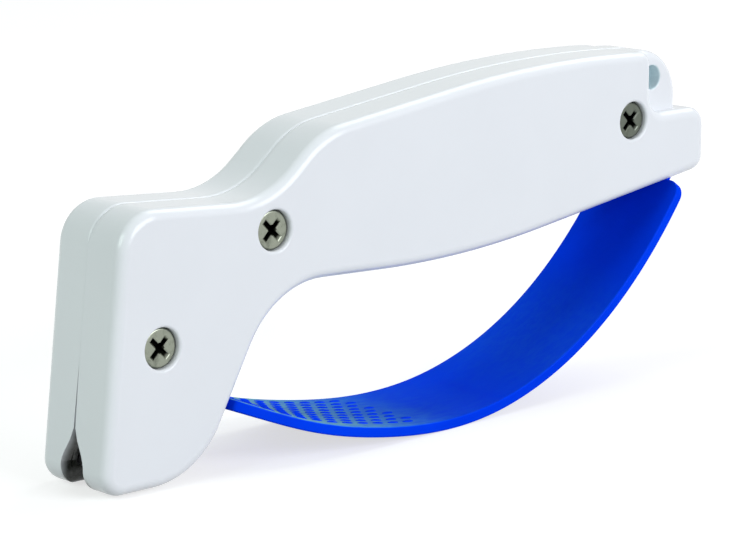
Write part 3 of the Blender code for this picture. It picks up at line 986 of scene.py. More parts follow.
@dataclass
class FingerGuard:
    """Curved strip below the handle, with a tongue and a bead at each end."""

    build: Build
    width: float = 25.17 * MM
    thickness: float = 1.8 * MM
    edge: float = 0.32 * MM
    most_round: float = 0.98
    head_gap: float = 1.2 * MM
    tail_gap: float = 0.4 * MM
    corner: float = 3.0 * MM
    tongue_width: float = 11.0 * MM
    tongue_thickness: float = 1.0 * MM
    tongue_offset: float = 0.2 * MM
    bead_radius: float = 1.2 * MM
    bead_setback: float = 1.0 * MM
    stations: int = 110
    edge_steps: int = 4
    corner_steps: int = 10
    bead_steps: int = 14
    width_samples: int = 200
    painted_sheen_samples: int = 300
    tries: int = 400
    slope_step: float = 0.1 * MM
    line_shares: tuple[Point, ...] = (
        (0.187, 0.1765), (0.2866, 0.0857), (0.3865, 0.0303), (0.4864, 0.0018), (0.5862, 0.0108),
        (0.6861, 0.0706), (0.7852, 0.1882), (0.8657, 0.3387), (0.9382, 0.5311), (0.96, 0.602),
    )
    width_shares: tuple[Point, ...] = (
        (0.0, 0.6), (0.07, 0.87), (0.18, 1.0), (0.33, 0.965), (0.53, 0.87), (0.78, 0.8), (1.0, 0.78),
    )
    # Share of the painted sheen and painted shade along the strip, by share of its length.
    painted_sheen_shares: tuple[Point, ...] = (
        (0.0, 1.0), (0.06, 0.92), (0.14, 0.78), (0.24, 0.6), (0.32, 0.34),
        (0.4, 0.08), (0.5, 0.02), (0.62, 0.08), (0.72, 0.07), (0.82, 0.0),
    )
    start: float = field(init=False)
    end: float = field(init=False)

    def __post_init__(self) -> None:
        """Fits the curves and finds where the strip stops short of the shells."""
        b = self.build
        self.curve = Curve([b.place(s) for s in self.line_shares])
        widths = Curve(self.width_shares)
        steps = np.linspace(0.0, widths.knots[-1], self.width_samples)
        self.samples = np.array([widths.at(step) for step in steps])
        run = self.curve.knots[-1]
        tries = np.linspace(0.0, run / 3, self.tries)
        self.start = self.first_clear(b.heel_shares, b.throat_shares, tries, self.head_gap)
        tries = np.linspace(run, 2 * run / 3, self.tries)
        self.end = self.first_clear(b.belly_shares, b.tail_low_shares, tries, self.tail_gap)

    def first_clear(self, first: Point, second: Point, tries: np.ndarray, gap: float) -> float:
        """First distance at which the strip is clear of a side of the body.

        Args:
            first: start of the side, in shares.
            second: end of the side, in shares.
            tries: distances along the strip, in order.
            gap: clearance wanted.

        Returns:
            The distance.
        """
        origin, outward = self.build.side_direction(first, second)
        for distance in tries:
            here, _, inward = self.station(distance)
            inner = here + inward * self.thickness
            if min((here - origin) @ outward, (inner - origin) @ outward) >= gap:
                return float(distance)
        return float(tries[0])

    def station(self, distance: float) -> tuple[np.ndarray, np.ndarray, np.ndarray]:
        """Place on the strip's underside.

        Args:
            distance: distance along it.

        Returns:
            The point, the direction to the tail and the direction to the handle.
        """
        along = self.curve.at(distance + self.slope_step) - self.curve.at(distance - self.slope_step)
        along = along / np.linalg.norm(along)
        return self.curve.at(distance), along, np.array((-along[1], along[0]))

    def share(self, distance: float) -> float:
        """Distance along the strip as a share of its length."""
        return (distance - self.start) / (self.end - self.start)

    def half_width(self, distance: float) -> float:
        """Half of the strip's width, with the round corners at the tail.

        Args:
            distance: distance along it.

        Returns:
            The half width.
        """
        wide = float(np.interp(self.share(distance), self.samples[:, 0], self.samples[:, 1]))
        half = wide * self.width / 2
        rest = self.end - distance
        if rest < self.corner:
            half -= self.corner - math.sqrt(max(self.corner ** 2 - (self.corner - rest) ** 2, 0.0))
        return half

    def section(self, middle: np.ndarray, inward: np.ndarray, half_width: float, half_height: float,
                radius: float) -> Ring:
        """Section of the strip with round edges.

        Args:
            middle: X and Z of its middle.
            inward: direction to the handle.
            half_width: half of its width.
            half_height: half of its thickness.
            radius: fillet of its edges.

        Returns:
            The ring.
        """
        radius = min(radius, half_height * self.most_round)
        ring: Ring = []
        for corner, (a, b) in enumerate(((1, 1), (-1, 1), (-1, -1), (1, -1))):
            for k in range(self.edge_steps + 1):
                angle = math.pi / 2 * (corner + k / self.edge_steps)
                y = a * (half_width - radius) + radius * math.cos(angle)
                t = b * (half_height - radius) + radius * math.sin(angle)
                ring.append((middle[0] + inward[0] * t, y, middle[1] + inward[1] * t))
        return ring

    def tongue(self, at_head: bool) -> tuple[np.ndarray, np.ndarray, np.ndarray]:
        """Middle line of a tongue.

        Args:
            at_head: which end of the strip.

        Returns:
            Its start, its heading into the shells and the direction to the handle.
        """
        here, along, inward = self.station(self.start if at_head else self.end)
        side = 1 if at_head else -1
        middle = here + inward * (self.thickness / 2 + side * self.tongue_offset)
        return middle, (-along if at_head else along), inward

    def reach(self, at_head: bool) -> tuple[float, float]:
        """Distances along a tongue.

        Args:
            at_head: which end of the strip.

        Returns:
            The distances to the outside of the wall and to the bead's middle.
        """
        b = self.build
        ends = (b.heel_shares, b.throat_shares) if at_head else (b.belly_shares, b.tail_low_shares)
        origin, outward = b.side_direction(*ends)
        start, heading, _ = self.tongue(at_head)
        speed = -(heading @ outward)
        outside = float((start - origin) @ outward / speed)
        return outside, outside + b.wall / float(speed) + self.bead_setback

    def tongue_rings(self, at_head: bool) -> list[Ring]:
        """Sections of a tongue and its bead.

        Args:
            at_head: which end of the strip.

        Returns:
            The rings, from the strip outwards.
        """
        start, heading, inward = self.tongue(at_head)
        centre = self.reach(at_head)[1]
        half = self.tongue_thickness / 2
        neck = math.asin(half / self.bead_radius)
        rows = [(0.0, half)]
        for angle in np.linspace(neck, math.pi - neck, self.bead_steps):
            rows.append((centre - self.bead_radius * math.cos(angle), self.bead_radius * math.sin(angle)))
        wide = self.tongue_width / 2
        return [self.section(start + heading * d, inward, wide, h, self.edge / 2) for d, h in rows]

    def make(self) -> bpy.types.Object:
        """Builds the strip and its tongues in one piece.

        Returns:
            The strip.
        """
        rows = [(self.start + self.edge * d, self.edge * shrink) for d, shrink in quarter(self.edge_steps)]
        plain = np.linspace(self.start + self.edge, self.end - self.corner, self.stations)
        rows += [(float(d), 0.0) for d in plain[1:]]
        for angle in np.linspace(0.0, math.pi / 2, self.corner_steps)[1:]:
            d = self.end - self.corner + self.corner * math.sin(angle)
            left = max(self.edge - (self.end - d), 0.0)
            rows.append((d, self.edge - math.sqrt(max(self.edge ** 2 - left ** 2, 0.0))))
        rings = list(reversed(self.tongue_rings(True)))
        for distance, shrink in rows:
            here, _, inward = self.station(distance)
            middle = here + inward * self.thickness / 2
            wide = self.half_width(distance) - shrink
            rings.append(self.section(middle, inward, wide, self.thickness / 2 - shrink, self.edge))
        rings += self.tongue_rings(False)
        obj = loft("guard_strip", rings)
        smooth(obj)
        self.lay_painted_sheen(obj)
        return obj

    def lay_painted_sheen(self, obj: bpy.types.Object) -> None:
        """Gives the strip its attribute of painted sheen and painted shade: full on the inner face at the
        head end, hardly any beyond.

        Args:
            obj: the strip.
        """
        distances = np.linspace(self.start, self.end, self.painted_sheen_samples)
        places = np.array([self.curve.at(d)[0] for d in distances])
        runs, shares = zip(*self.painted_sheen_shares)
        values = []
        for vertex in obj.data.vertices:
            distance = float(np.interp(vertex.co.x, places, distances))
            inward = self.station(distance)[2]
            facing = vertex.normal.x * inward[0] + vertex.normal.z * inward[1]
            film_and_sheen = np.interp(self.share(distance), runs, shares)
            values.append(float(np.clip(facing * 2 - 1, 0.0, 1.0) * film_and_sheen))
        obj.data.attributes.new("film_and_sheen", "FLOAT", "POINT").data.foreach_set("value", values)

    def cutters(self) -> list[bpy.types.Object]:
        """Slots and bead sockets that the tongues need in the shells.

        Returns:
            The cutters.
        """
        gap = self.build.clearance
        found = []
        for at_head in (True, False):
            start, heading, inward = self.tongue(at_head)
            outside, centre = self.reach(at_head)
            half = self.tongue_thickness / 2 + gap
            wide = self.tongue_width / 2 + gap
            low, high = start + heading * (outside - self.build.overrun), start + heading * centre
            box = [low - inward * half, high - inward * half, high + inward * half, low + inward * half]
            found.append(side_prism("tongue_slot", [tuple(p) for p in box], (-wide, wide)))
            radius = self.bead_radius + gap
            found.append(turned("bead_socket", high, ((radius, -wide), (radius, wide)), segments=32))
        return found

    def dress(self, material: bpy.types.Material) -> None:
        """Makes the strip and its grip ridges and gives them their finish."""
        dress(self.make(), material, "handle", "blue_plastic", "finger_guard")
        dress(GripRidges(self).make(material), material, "handle", "blue_plastic")


@dataclass
class GripRidges:
    """Rows of short raised ridges on the guard's inner face, set out by Geometry Nodes."""

    guard: FingerGuard
    ridge_length: float = 2.5 * MM
    ridge_width: float = 0.9 * MM
    ridge_height: float = 0.22 * MM
    pitch_along: float = 3.5 * MM
    pitch_across: float = 2.3 * MM
    margin: float = 2.0 * MM
    start_gap: float = 3.0 * MM
    end_gap: float = 79.0 * MM

    def seats(self) -> bpy.types.Object:
        """One small face for each ridge, on the guard's inner face, with its directions.

        Returns:
            The faces as one object.
        """
        g = self.guard
        verts: list[Triple] = []
        faces: list[tuple[int, ...]] = []
        leans: list[float] = []
        runs: list[float] = []
        row_count = int(g.width / self.pitch_across)
        first = g.start + self.start_gap
        for row in range(-row_count, row_count + 1):
            y = row * self.pitch_across
            shift = self.pitch_along / 2 if row % 2 else 0.0
            for d in np.arange(first + shift, g.end - self.end_gap, self.pitch_along):
                if abs(y) > g.half_width(float(d)) - self.margin:
                    continue
                here, along, inward = g.station(float(d))
                top, small = here + inward * g.thickness, self.ridge_width / 4
                base = len(verts)
                for a, b in CORNERS:
                    x, z = top + along * a * small
                    verts.append((x, y + b * small, z))
                faces.append(tuple(range(base, base + 4)))
                leans += [inward[0], 0.0, inward[1]]
                runs += [along[0], 0.0, along[1]]
        mesh = bpy.data.meshes.new("ridge_seats")
        mesh.from_pydata(verts, [], faces)
        for name, values in (("lean", leans), ("run", runs)):
            mesh.attributes.new(name, "FLOAT_VECTOR", "FACE").data.foreach_set("vector", values)
        return add_object("guard_grip_ridges", mesh)

    def tree(self) -> bpy.types.GeometryNodeTree:
        """Node tree that sets a rounded ridge on every seat.

        Returns:
            The tree.
        """
        tree = bpy.data.node_groups.new("ridge_setter", "GeometryNodeTree")
        kinds = {"Geometry": "Geometry", "Length": "Float", "Width": "Float", "Height": "Float",
                 "Material": "Material"}
        for name, kind in kinds.items():
            tree.interface.new_socket(name, in_out="INPUT", socket_type="NodeSocket" + kind)
        tree.interface.new_socket("Geometry", in_out="OUTPUT", socket_type="NodeSocketGeometry")
        bench = Bench(tree)
        add = bench.add
        given = {name: add("NodeGroupInput", output=name) for name in kinds}
        points = add("GeometryNodeMeshToPoints", {"mode": "FACES"}, {"Mesh": given["Geometry"]})
        ball = add("GeometryNodeMeshUVSphere", {}, {"Segments": 10, "Rings": 6, "Radius": 0.5})
        sizes = {"X": given["Length"], "Y": given["Width"], "Z": given["Height"]}
        size = add("ShaderNodeCombineXYZ", {}, sizes)
        lean, run = (add("GeometryNodeInputNamedAttribute", {"data_type": "FLOAT_VECTOR"}, {"Name": name})
                     for name in ("lean", "run"))
        turn = add("FunctionNodeAlignRotationToVector", {"axis": "Z"}, {"Vector": lean})
        turn = add("FunctionNodeAlignRotationToVector", {"axis": "X", "pivot_axis": "Z"},
                   {"Rotation": turn, "Vector": run})
        placed = {"Points": points, "Instance": ball, "Rotation": turn, "Scale": size}
        real = add("GeometryNodeRealizeInstances", {}, {0: add("GeometryNodeInstanceOnPoints", {}, placed)})
        soft = add("GeometryNodeSetShadeSmooth", {}, {"Geometry": real})
        painted = add("GeometryNodeSetMaterial", {}, {"Geometry": soft, "Material": given["Material"]})
        bench.add_output(painted, "NodeGroupOutput")
        return tree

    def make(self, material: bpy.types.Material) -> bpy.types.Object:
        """Sets the ridges out and turns them into a plain mesh.

        Args:
            material: the guard's finish.

        Returns:
            The ridges.
        """
        obj = self.seats()
        tree = self.tree()
        modifier = obj.modifiers.new("ridges", "NODES")
        modifier.node_group = tree
        values = {"Length": self.ridge_length, "Width": self.ridge_width, "Height": 2 * self.ridge_height,
                  "Material": material}
        for item in tree.interface.items_tree:
            if item.in_out == "INPUT" and item.name in values:
                modifier[item.identifier] = values[item.name]
        settle(obj)
        return obj


@dataclass
class Screw:
    """Machine screw with a bevelled flat head, a cross recess and a rolled thread."""

    build: Build
    label: str
    shares: Point
    diameter: float = 3.5 * MM
    length: float = 12.7 * MM
    head: float = 6.5 * MM
    head_height: float = 2.1 * MM
    bevel: float = 0.4 * MM
    sink: float = 0.8 * MM
    cross_length: float = 4.3 * MM
    cross_width: float = 0.88 * MM
    cross_depth: float = 1.6 * MM
    mouth_depth: float = 0.16 * MM
    mouth_shares: Point = (1.1, 1.42)
    rim_shares: Point = (0.98, 0.96)
    floor_shares: Point = (0.45, 0.7)
    cone_share: float = 1.05
    point_share: float = 0.3
    chamfer: float = 0.5 * MM
    pitch: float = 0.6 * MM
    thread_depth: float = 0.3 * MM
    turn: float = math.radians(45.0)
    segments: int = 32
    rings_per_turn: int = 8
    bevel_steps: int = 5
    plate: Triple = (0.27, 0.29, 0.235)
    film_share: float = 0.8

    @property
    def centre(self) -> Point:
        """X and Z of the screw's axis."""
        return self.build.place(self.shares)

    @property
    def top(self) -> float:
        """Y of the head's flat face."""
        return self.sink - self.build.half

    def head_profile(self) -> list[Point]:
        """Radii and Y places of the head.

        Returns:
            The rows, from its face to its underside.
        """
        radius = self.head / 2
        found = [(radius - self.bevel * s, self.top + self.bevel * c) for c, s in quarter(self.bevel_steps)]
        found.append((radius, self.top + self.head_height - self.bevel / 3))
        found.append((radius - self.bevel / 3, self.top + self.head_height))
        return found

    def shank(self) -> bpy.types.Object:
        """Threaded shank, from inside the head to the tip.

        Returns:
            The shank.
        """
        under = self.top + self.head_height
        (x, z), tip = self.centre, under + self.length
        steps = int(self.length / self.pitch * self.rings_per_turn)
        rings: list[Ring] = []
        for k in range(steps + 1):
            y = under + self.length * k / steps
            fade = max(min(1.0, (y - under) / self.pitch, (tip - y) / self.pitch), 0.0)
            ring: Ring = []
            for i in range(self.segments):
                angle = 2 * math.pi * i / self.segments
                phase = ((y - under) / self.pitch - i / self.segments) % 1.0
                crest = 1 - abs(2 * phase - 1)
                radius = self.diameter / 2 - self.thread_depth * (1 - crest) * fade
                radius = min(radius, self.diameter / 2 - self.chamfer + (tip - y))
                ring.append((x + radius * math.cos(angle), y, z + radius * math.sin(angle)))
            rings.append(ring)
        root = [(u, under - self.bevel, w) for u, _, w in rings[0]]
        return loft("shank", [root] + rings)

    def cross(self) -> list[bpy.types.Object]:
        """Cutters of the recess: two tapered bars with a bevelled mouth, and the cone where they meet.

        Returns:
            The cutters.
        """
        found = []
        rows = (
            (self.top - self.build.overrun, self.mouth_shares), (self.top, self.mouth_shares),
            (self.top + self.mouth_depth, self.rim_shares), (self.top + self.cross_depth, self.floor_shares),
        )
        for turn in (self.turn, self.turn + math.pi / 2):
            c, s = math.cos(turn), math.sin(turn)
            rings: list[Ring] = []
            for y, (long_share, wide_share) in rows:
                ring: Ring = []
                for a, b in CORNERS:
                    u = a * self.cross_length / 2 * long_share
                    v = b * self.cross_width / 2 * wide_share
                    ring.append((self.centre[0] + u * c - v * s, y, self.centre[1] + u * s + v * c))
                rings.append(ring)
            found.append(loft("cross_bar", rings))
        mouth, point = self.cross_width * self.cone_share, self.cross_width * self.point_share
        deep = self.top + self.cross_depth + self.bevel / 2
        cone = ((mouth, self.top - self.build.overrun), (mouth, self.top), (point, deep))
        found.append(turned("cross_cone", self.centre, cone, segments=24, phase=self.turn))
        return found

    def make(self) -> bpy.types.Object:
        """Builds the screw in one piece.

        Returns:
            The screw.
        """
        obj = turned(f"screw_{self.label}_steel", self.centre, self.head_profile())
        combine(obj, self.shank(), Cut.JOINED)
        for cutter in self.cross():
            combine(obj, cutter, Cut.AWAY)
        smooth(obj)
        return obj

    def dress(self) -> None:
        """Makes the screw and gives it its finish."""
        x, z = self.centre
        place = (x, self.top, z)
        finish = TurnedNickel(f"nickel_{self.label}_screw", place, self.plate, film_share=self.film_share)
        dress(self.make(), finish.make(), f"screw_{self.label}_body", "nickel", "screw_" + self.label)


@dataclass
class Nut:
    """Hexagon nut with chamfered corners and a bore that clears the screw."""

    build: Build
    screw: Screw
    flats: float = 6.4 * MM
    thickness: float = 2.8 * MM
    sink: float = 0.8 * MM
    chamfer: float = 0.45 * MM
    chamfer_share: float = 0.96
    pocket_ease: float = 0.25 * MM

    @property
    def face(self) -> float:
        """Y of the nut's outer face."""
        return self.build.half - self.sink

    def hexagon(self, name: str, spread: float, profile: Iterable[Point]) -> bpy.types.Object:
        """Six-sided solid along Y.

        Args:
            name: the object's name.
            spread: growth of the distance across flats.
            profile: growth of the corner radius and Y, in order.

        Returns:
            The solid.
        """
        radius = (self.flats + spread) / 2 / math.cos(math.pi / 6)
        rows = [(radius + grown, y) for grown, y in profile]
        return turned(name, self.screw.centre, rows, segments=6, phase=math.pi / 6)

    def make(self) -> bpy.types.Object:
        """Builds the nut.

        Returns:
            The nut.
        """
        low = self.face - self.thickness
        obj = self.hexagon(f"nut_{self.screw.label}_steel", 0.0, ((0.0, low), (0.0, self.face)))
        flat, deep = self.flats / 2 * self.chamfer_share, self.chamfer
        wide = self.flats / 2 / math.cos(math.pi / 6) + deep
        lathe = ((flat, low), (wide, low + deep), (wide, self.face - deep), (flat, self.face))
        combine(obj, turned("chamfers", self.screw.centre, lathe, segments=72), Cut.SHARED)
        bore, run = self.screw.diameter / 2 + self.build.clearance, self.build.overrun
        profile = ((bore, low - run), (bore, self.face + run))
        combine(obj, turned("bore", self.screw.centre, profile, segments=48), Cut.AWAY)
        smooth(obj)
        return obj

    def pocket(self) -> bpy.types.Object:
        """Pocket for the nut in the far shell, with an eased mouth.

        Returns:
            The cutter.
        """
        floor = self.face - self.thickness - self.build.clearance
        out, ease = self.build.half, self.pocket_ease
        rows = ((0.0, floor), (0.0, out - ease), (ease, out), (ease, out + self.build.overrun))
        return self.hexagon("nut_pocket", 2 * self.build.clearance, rows)

    def dress(self) -> None:
        """Makes the nut and gives it its finish."""
        x, z = self.screw.centre
        finish = TurnedNickel(f"nickel_{self.screw.label}_nut", (x, self.face, z))
        dress(self.make(), finish.make(), "handle", "nickel", "nut_" + self.screw.label)


@dataclass
class Shell:
    """One half of the body: rounded skin, bosses, blade seat, ribs, knife slot and fastener seats."""

    build: Build
    side: Side
    blades: Sequence[Blade]
    guard: FingerGuard
    screws: Sequence[Screw]
    nuts: Sequence[Nut]
    near_edge: float = 1.8 * MM
    far_edge: float = 2.2 * MM
    seam_gap: float = 0.006 * MM
    near_seam: Point = (1.2 * MM, 0.2 * MM)
    far_seam: Point = (0.5 * MM, 0.26 * MM)
    seam_front_share: float = 0.03
    seam_fade: Point = (0.9, 0.985)
    skin_inset: float = 0.008 * MM
    corner_radii: tuple[float, ...] = tuple(
        radius * MM for radius in (3.7, 15.5, 17.0, 205.0, 3.0, 3.2, 3.5, 2.2, 258.0, 17.0, 17.0, 7.0)
    )
    tab_corner: float = 8.8 * MM
    tab_sunk: float = 0.01 * MM
    tab_recess: float = 2.5 * MM
    hole_lip: float = 0.3 * MM
    seat_lip: float = 0.55 * MM
    seat_gap: float = 0.09 * MM
    hole: float = 4.3 * MM
    boss_wall: float = 1.1 * MM
    slot_width: float = 5.7 * MM
    slot_height: float = 10.5 * MM
    slot_lip: float = 1.1 * MM
    slot_slope: float = math.radians(8.5)
    slit_top: float = 21.0 * MM
    slit_half: float = 0.26 * MM
    slit_depth: float = 2.4 * MM
    peg: float = 2.4 * MM
    peg_length: float = 3.0 * MM
    peg_wall: float = 1.2 * MM
    peg_round: float = 0.4 * MM
    rib: float = 1.2 * MM
    rib_depth: float = 3.0 * MM
    seat_rear: float = 1.2 * MM
    seat_roof: float = 1.6 * MM
    peg_shares: tuple[Point, ...] = ((0.14, 0.66), (0.66, 0.6))
    rib_shares: tuple[float, ...] = (0.37, 0.47, 0.57, 0.75)
    edge_steps: int = 9
    lip_steps: int = 6
    slot_shares: tuple[Point, ...] = ((0.5, 0.44), (0.465, 0.515), (0.36, 0.64), (0.165, 0.82))

    def outline(self) -> Outline:
        """Side outline of the thick part of the body, without the thin tab.

        Returns:
            The outline.
        """
        b = self.build
        corners = (
            b.chin_shares, b.heel_shares, b.throat_shares, b.belly_shares,
            b.tail_low_shares, b.tail_high_shares, b.step_shares, b.step_top_shares,
            b.arch_shares, b.shoulder_shares, b.neck_shares, b.brow_shares,
        )
        return Outline(tuple(b.place(shares) for shares in corners), self.corner_radii)

    def tab_outline(self) -> Outline:
        """Side outline of the thin tab, rooted in the thick part.

        Returns:
            The outline.
        """
        b = self.build
        right, top = b.place(b.tab_shares)
        step, ledge = b.place(b.step_shares)
        arch_x, arch_z = b.place(b.arch_shares)
        root = step - b.overrun
        low = ledge - 3 * b.overrun
        crown = top + (arch_z - top) * (right - root) / (right - arch_x)
        corners = ((root, low), (right, low), (right, top), (root, crown))
        return Outline(corners, (b.embed, b.embed, self.tab_corner, b.embed))

    def skin(self, name: str, outline: Outline, half: float, sunk: float = 0.0) -> bpy.types.Object:
        """Solid between the parting plane and a rounded rim.

        Args:
            name: the object's name.
            outline: its side outline.
            half: its depth from the parting plane.
            sunk: distance that it stands inside its outline.

        Returns:
            The solid.
        """
        s, rim = self.side.value, outline.points(sunk + self.skin_inset)
        edge = self.near_edge if self.side is Side.NEAR else self.far_edge
        softness = [self.seam_softness(rim, i) for i in range(len(rim))]
        rings: list[Ring] = []
        for reach, depth in self.seam_profile():
            moved = outline.points(sunk + self.skin_inset + depth)
            ring: Ring = []
            for (x, z), (u, w), share in zip(rim, moved, softness):
                y = self.seam_gap + reach * share
                ring.append((x + (u - x) * share, s * y, z + (w - z) * share))
            rings.append(ring)
        for inset, back in quarter(self.edge_steps):
            moved = outline.points(sunk + self.skin_inset + edge * inset)
            rings.append([(x, s * (half - edge * back), z) for x, z in moved])
        return loft(name, rings)

    def seam_profile(self) -> list[Point]:
        """Rounding at the parting plane, long and shallow on the near shell.

        Returns:
            Distances from the plane and below the surface.
        """
        if self.side is Side.FAR:
            width, depth = self.far_seam
            return [(width * out, depth * down) for out, down in quarter(self.lip_steps)]
        width, depth = self.near_seam
        return [(width * t, depth * (1 - t) ** 2) for t in np.linspace(0.0, 1.0, self.lip_steps)]

    def seam_softness(self, rim: Sequence[Point], i: int) -> float:
        """Share of the full seam rounding at a point of the rim: little down the front, full elsewhere.

        Args:
            rim: points of the outline.
            i: number of the point.

        Returns:
            The share.
        """
        before, after = np.array(rim[i - 1]), np.array(rim[(i + 1) % len(rim)])
        along = (after - before) / max(float(np.linalg.norm(after - before)), 1e-9)
        start, end = self.seam_fade
        steep = min(max((-float(along[1]) - start) / (end - start), 0.0), 1.0)
        return 1 - (1 - self.seam_front_share) * steep

    def ends(self, inner: float, outer: float) -> tuple[float, float]:
        """Two places on Y at distances from the parting plane, lower first."""
        low, high = sorted((self.side.value * inner, self.side.value * outer))
        return (low, high)

    def boss(self, centre: Point, radius: float) -> bpy.types.Object:
        """Round post from the side wall to the parting plane."""
        ends = self.ends(self.build.clearance / 2, self.build.half - self.build.wall + self.build.embed)
        return turned("boss", centre, ((radius, ends[0]), (radius, ends[1])), segments=48)

    def additions(self) -> list[bpy.types.Object]:
        """Everything that stands inside the shell.

        Returns:
            The solids to join to it.
        """
        b = self.build
        nut = self.nuts[0]
        seats = (self.screws[0].head / 2, nut.flats / 2 / math.cos(math.pi / 6))
        radius = max(seats) + b.clearance + self.boss_wall
        found = [self.boss(screw.centre, radius) for screw in self.screws]
        found.append(self.blade_seat())
        found += [self.rib_at(share) for share in self.rib_shares]
        for shares in self.peg_shares:
            centre = b.place(shares)
            if self.side is Side.NEAR:
                found.append(self.boss(centre, self.peg / 2 + b.clearance + self.peg_wall))
            else:
                foot = b.half - b.wall + b.embed
                profile = ((self.peg / 2 - self.peg_round, -self.peg_length),
                           (self.peg / 2, self.peg_round - self.peg_length), (self.peg / 2, foot))
                found.append(turned("peg", centre, profile, segments=32))
        return found

    def blade_seat(self) -> bpy.types.Object:
        """Solid block behind the front wall that carries the blades.

        Returns:
            The block.
        """
        b, rear_blade = self.build, self.blades[-1]
        roof = rear_blade.outline()[2][1] + b.clearance + self.seat_roof
        front = b.front(roof) + b.wall / 4
        rear = rear_blade.x_front + rear_blade.thickness + b.clearance + self.seat_rear
        floor = b.wall - b.embed
        box = [(front, floor), (rear, floor), (rear, roof), (front, roof)]
        return side_prism("blade_seat", box, self.ends(b.clearance / 2, b.half - b.wall + b.embed))

    def rib_at(self, share: float) -> bpy.types.Object:
        """Rib across the handle, rooted in the walls.

        Args:
            share: its place as a share of the length.

        Returns:
            The rib.
        """
        b = self.build
        middle, depth = b.x_start + share * b.length, b.half - b.wall
        low, high = middle - self.rib / 2, middle + self.rib / 2
        box = [(low, 0.0), (high, 0.0), (high, b.height), (low, b.height)]
        ends = self.ends(depth - self.rib_depth, depth + b.embed)
        across = side_prism("rib", box, ends)
        limits = self.outline().points(b.wall - b.embed)
        combine(across, side_prism("limits", limits, (ends[0] - b.overrun, ends[1] + b.overrun)), Cut.SHARED)
        return across

    def knife_slot(self) -> bpy.types.Object:
        """Channel for the knife, with round lips, sinking towards the guard.

        Returns:
            The cutter.
        """
        b = self.build
        half, (front, base) = self.slot_width / 2, b.place(b.chin_shares)
        right = [(half + self.slot_lip, base - b.overrun), (half + self.slot_lip, base - b.embed)]
        lips = quarter(self.lip_steps)
        right += [(half + self.slot_lip * out, base + self.slot_lip * up) for up, out in lips]
        right += [(w * self.slot_width, h * self.slot_height) for w, h in self.slot_shares]
        right.append((self.slit_half, self.slot_height))
        outline = right + [(-y, z) for y, z in reversed(right)]
        still = base + self.slot_lip
        rings: list[Ring] = []
        for x in (front - b.overrun, b.place(b.throat_shares)[0]):
            drop = (x - front) * math.tan(self.slot_slope)
            left = 1 - drop / (self.slot_height - still)
            rings.append([(x, y, still + (z - still) * left if z > still else z) for y, z in outline])
        return loft("knife_slot", rings)

    def slit(self) -> bpy.types.Object:
        """Tapered slit in the front wall above the knife slot.

        Returns:
            The cutter.
        """
        b = self.build
        low, top = self.slot_height - b.overrun, self.slit_top
        wide, thin = self.slit_half, self.seam_gap / 2
        corners = [(-wide, low), (wide, low), (thin, top), (-thin, top)]
        front = b.place(b.chin_shares)[0]
        depth = b.front(top) + self.slit_depth
        return cross_prism("slit", corners, (front - b.overrun, depth))

    def eased_bore(self, name: str, centre: Point, radius: float, floor: float, mouth: float,
                   lip: float) -> bpy.types.Object:
        """Cutter of a round hole with a rounded mouth.

        Args:
            name: the object's name.
            centre: X and Z of its axis.
            radius: its radius.
            floor: distance of its floor from the parting plane.
            mouth: distance of the surface that it opens in.
            lip: rounding of the mouth.

        Returns:
            The cutter.
        """
        s = self.side.value
        rows = [(radius, s * floor)]
        rows += [(radius + lip * out, s * (mouth - lip * down)) for out, down in quarter(self.lip_steps)]
        rows.append((radius + lip, s * (mouth + self.build.overrun)))
        return turned(name, centre, rows)

    def cutters(self) -> list[bpy.types.Object]:
        """Everything that is cut out of the shell after its inside is built.

        Returns:
            The cutters.
        """
        b = self.build
        found = []
        for screw in self.screws:
            bore, run = screw.diameter / 2 + b.clearance, b.half + b.overrun
            found.append(turned("bore", screw.centre, ((bore, -run), (bore, run)), segments=40))
            if self.side is Side.NEAR:
                floor = -(screw.top + screw.head_height + b.clearance)
                seat = screw.head / 2 + self.seat_gap
                found.append(self.eased_bore("head_seat", screw.centre, seat, floor, b.half, self.seat_lip))
        if self.side is Side.FAR:
            found += [nut.pocket() for nut in self.nuts]
        else:
            depth, radius = self.peg_length + b.clearance, self.peg / 2 + b.clearance
            for shares in self.peg_shares:
                profile = ((radius, -depth), (radius, b.overrun))
                found.append(turned("socket", b.place(shares), profile, segments=32))
        centre, mouth = b.place(b.hole_shares), b.half - self.tab_recess
        found.append(self.eased_bore("cord_hole", centre, self.hole / 2, -b.overrun, mouth, self.hole_lip))
        found += [blade.pocket(self.side) for blade in self.blades]
        found += [self.knife_slot(), self.slit()]
        found += self.guard.cutters()
        return found

    def make(self, name: str) -> bpy.types.Object:
        """Builds the shell.

        Args:
            name: the object's name.

        Returns:
            The shell.
        """
        b = self.build
        obj = self.skin(name, self.outline(), b.half)
        tab = self.skin("tab", self.tab_outline(), b.half - self.tab_recess, self.tab_sunk)
        combine(obj, tab, Cut.JOINED)
        inside = self.ends(-b.overrun, b.half - b.wall)
        combine(obj, side_prism("hollow", self.outline().points(b.wall), inside), Cut.AWAY)
        for part in self.additions():
            combine(obj, part, Cut.JOINED)
        for cutter in self.cutters():
            combine(obj, cutter, Cut.AWAY)
        smooth(obj)
        return obj

    def dress(self, material: bpy.types.Material) -> None:
        """Makes the shell and gives it its finish."""
        name, body = ("near_shell", "cover") if self.side is Side.NEAR else ("far_shell", "handle")
        dress(self.make(name + "_skin"), material, body, "white_plastic", name)


# Studio


@dataclass(frozen=True)
class Softbox:
    """Rectangular lamp that looks at the object."""

    name: str
    place: Triple
    size: tuple[float, float]
    power: float
    colour: Triple = (1.0, 1.0, 1.0)

    def make(self, target: Vector) -> None:
        """Adds the lamp.

        Args:
            target: the point it looks at.
        """
        data = bpy.data.lights.new(self.name, "AREA")
        data.shape = "RECTANGLE"
        data.size, data.size_y = self.size
        data.energy = self.power
        data.color = self.colour
        lamp = add_object(self.name, data)
        lamp.location = self.place
        lamp.rotation_euler = (target - Vector(self.place)).to_track_quat("-Z", "Y").to_euler()


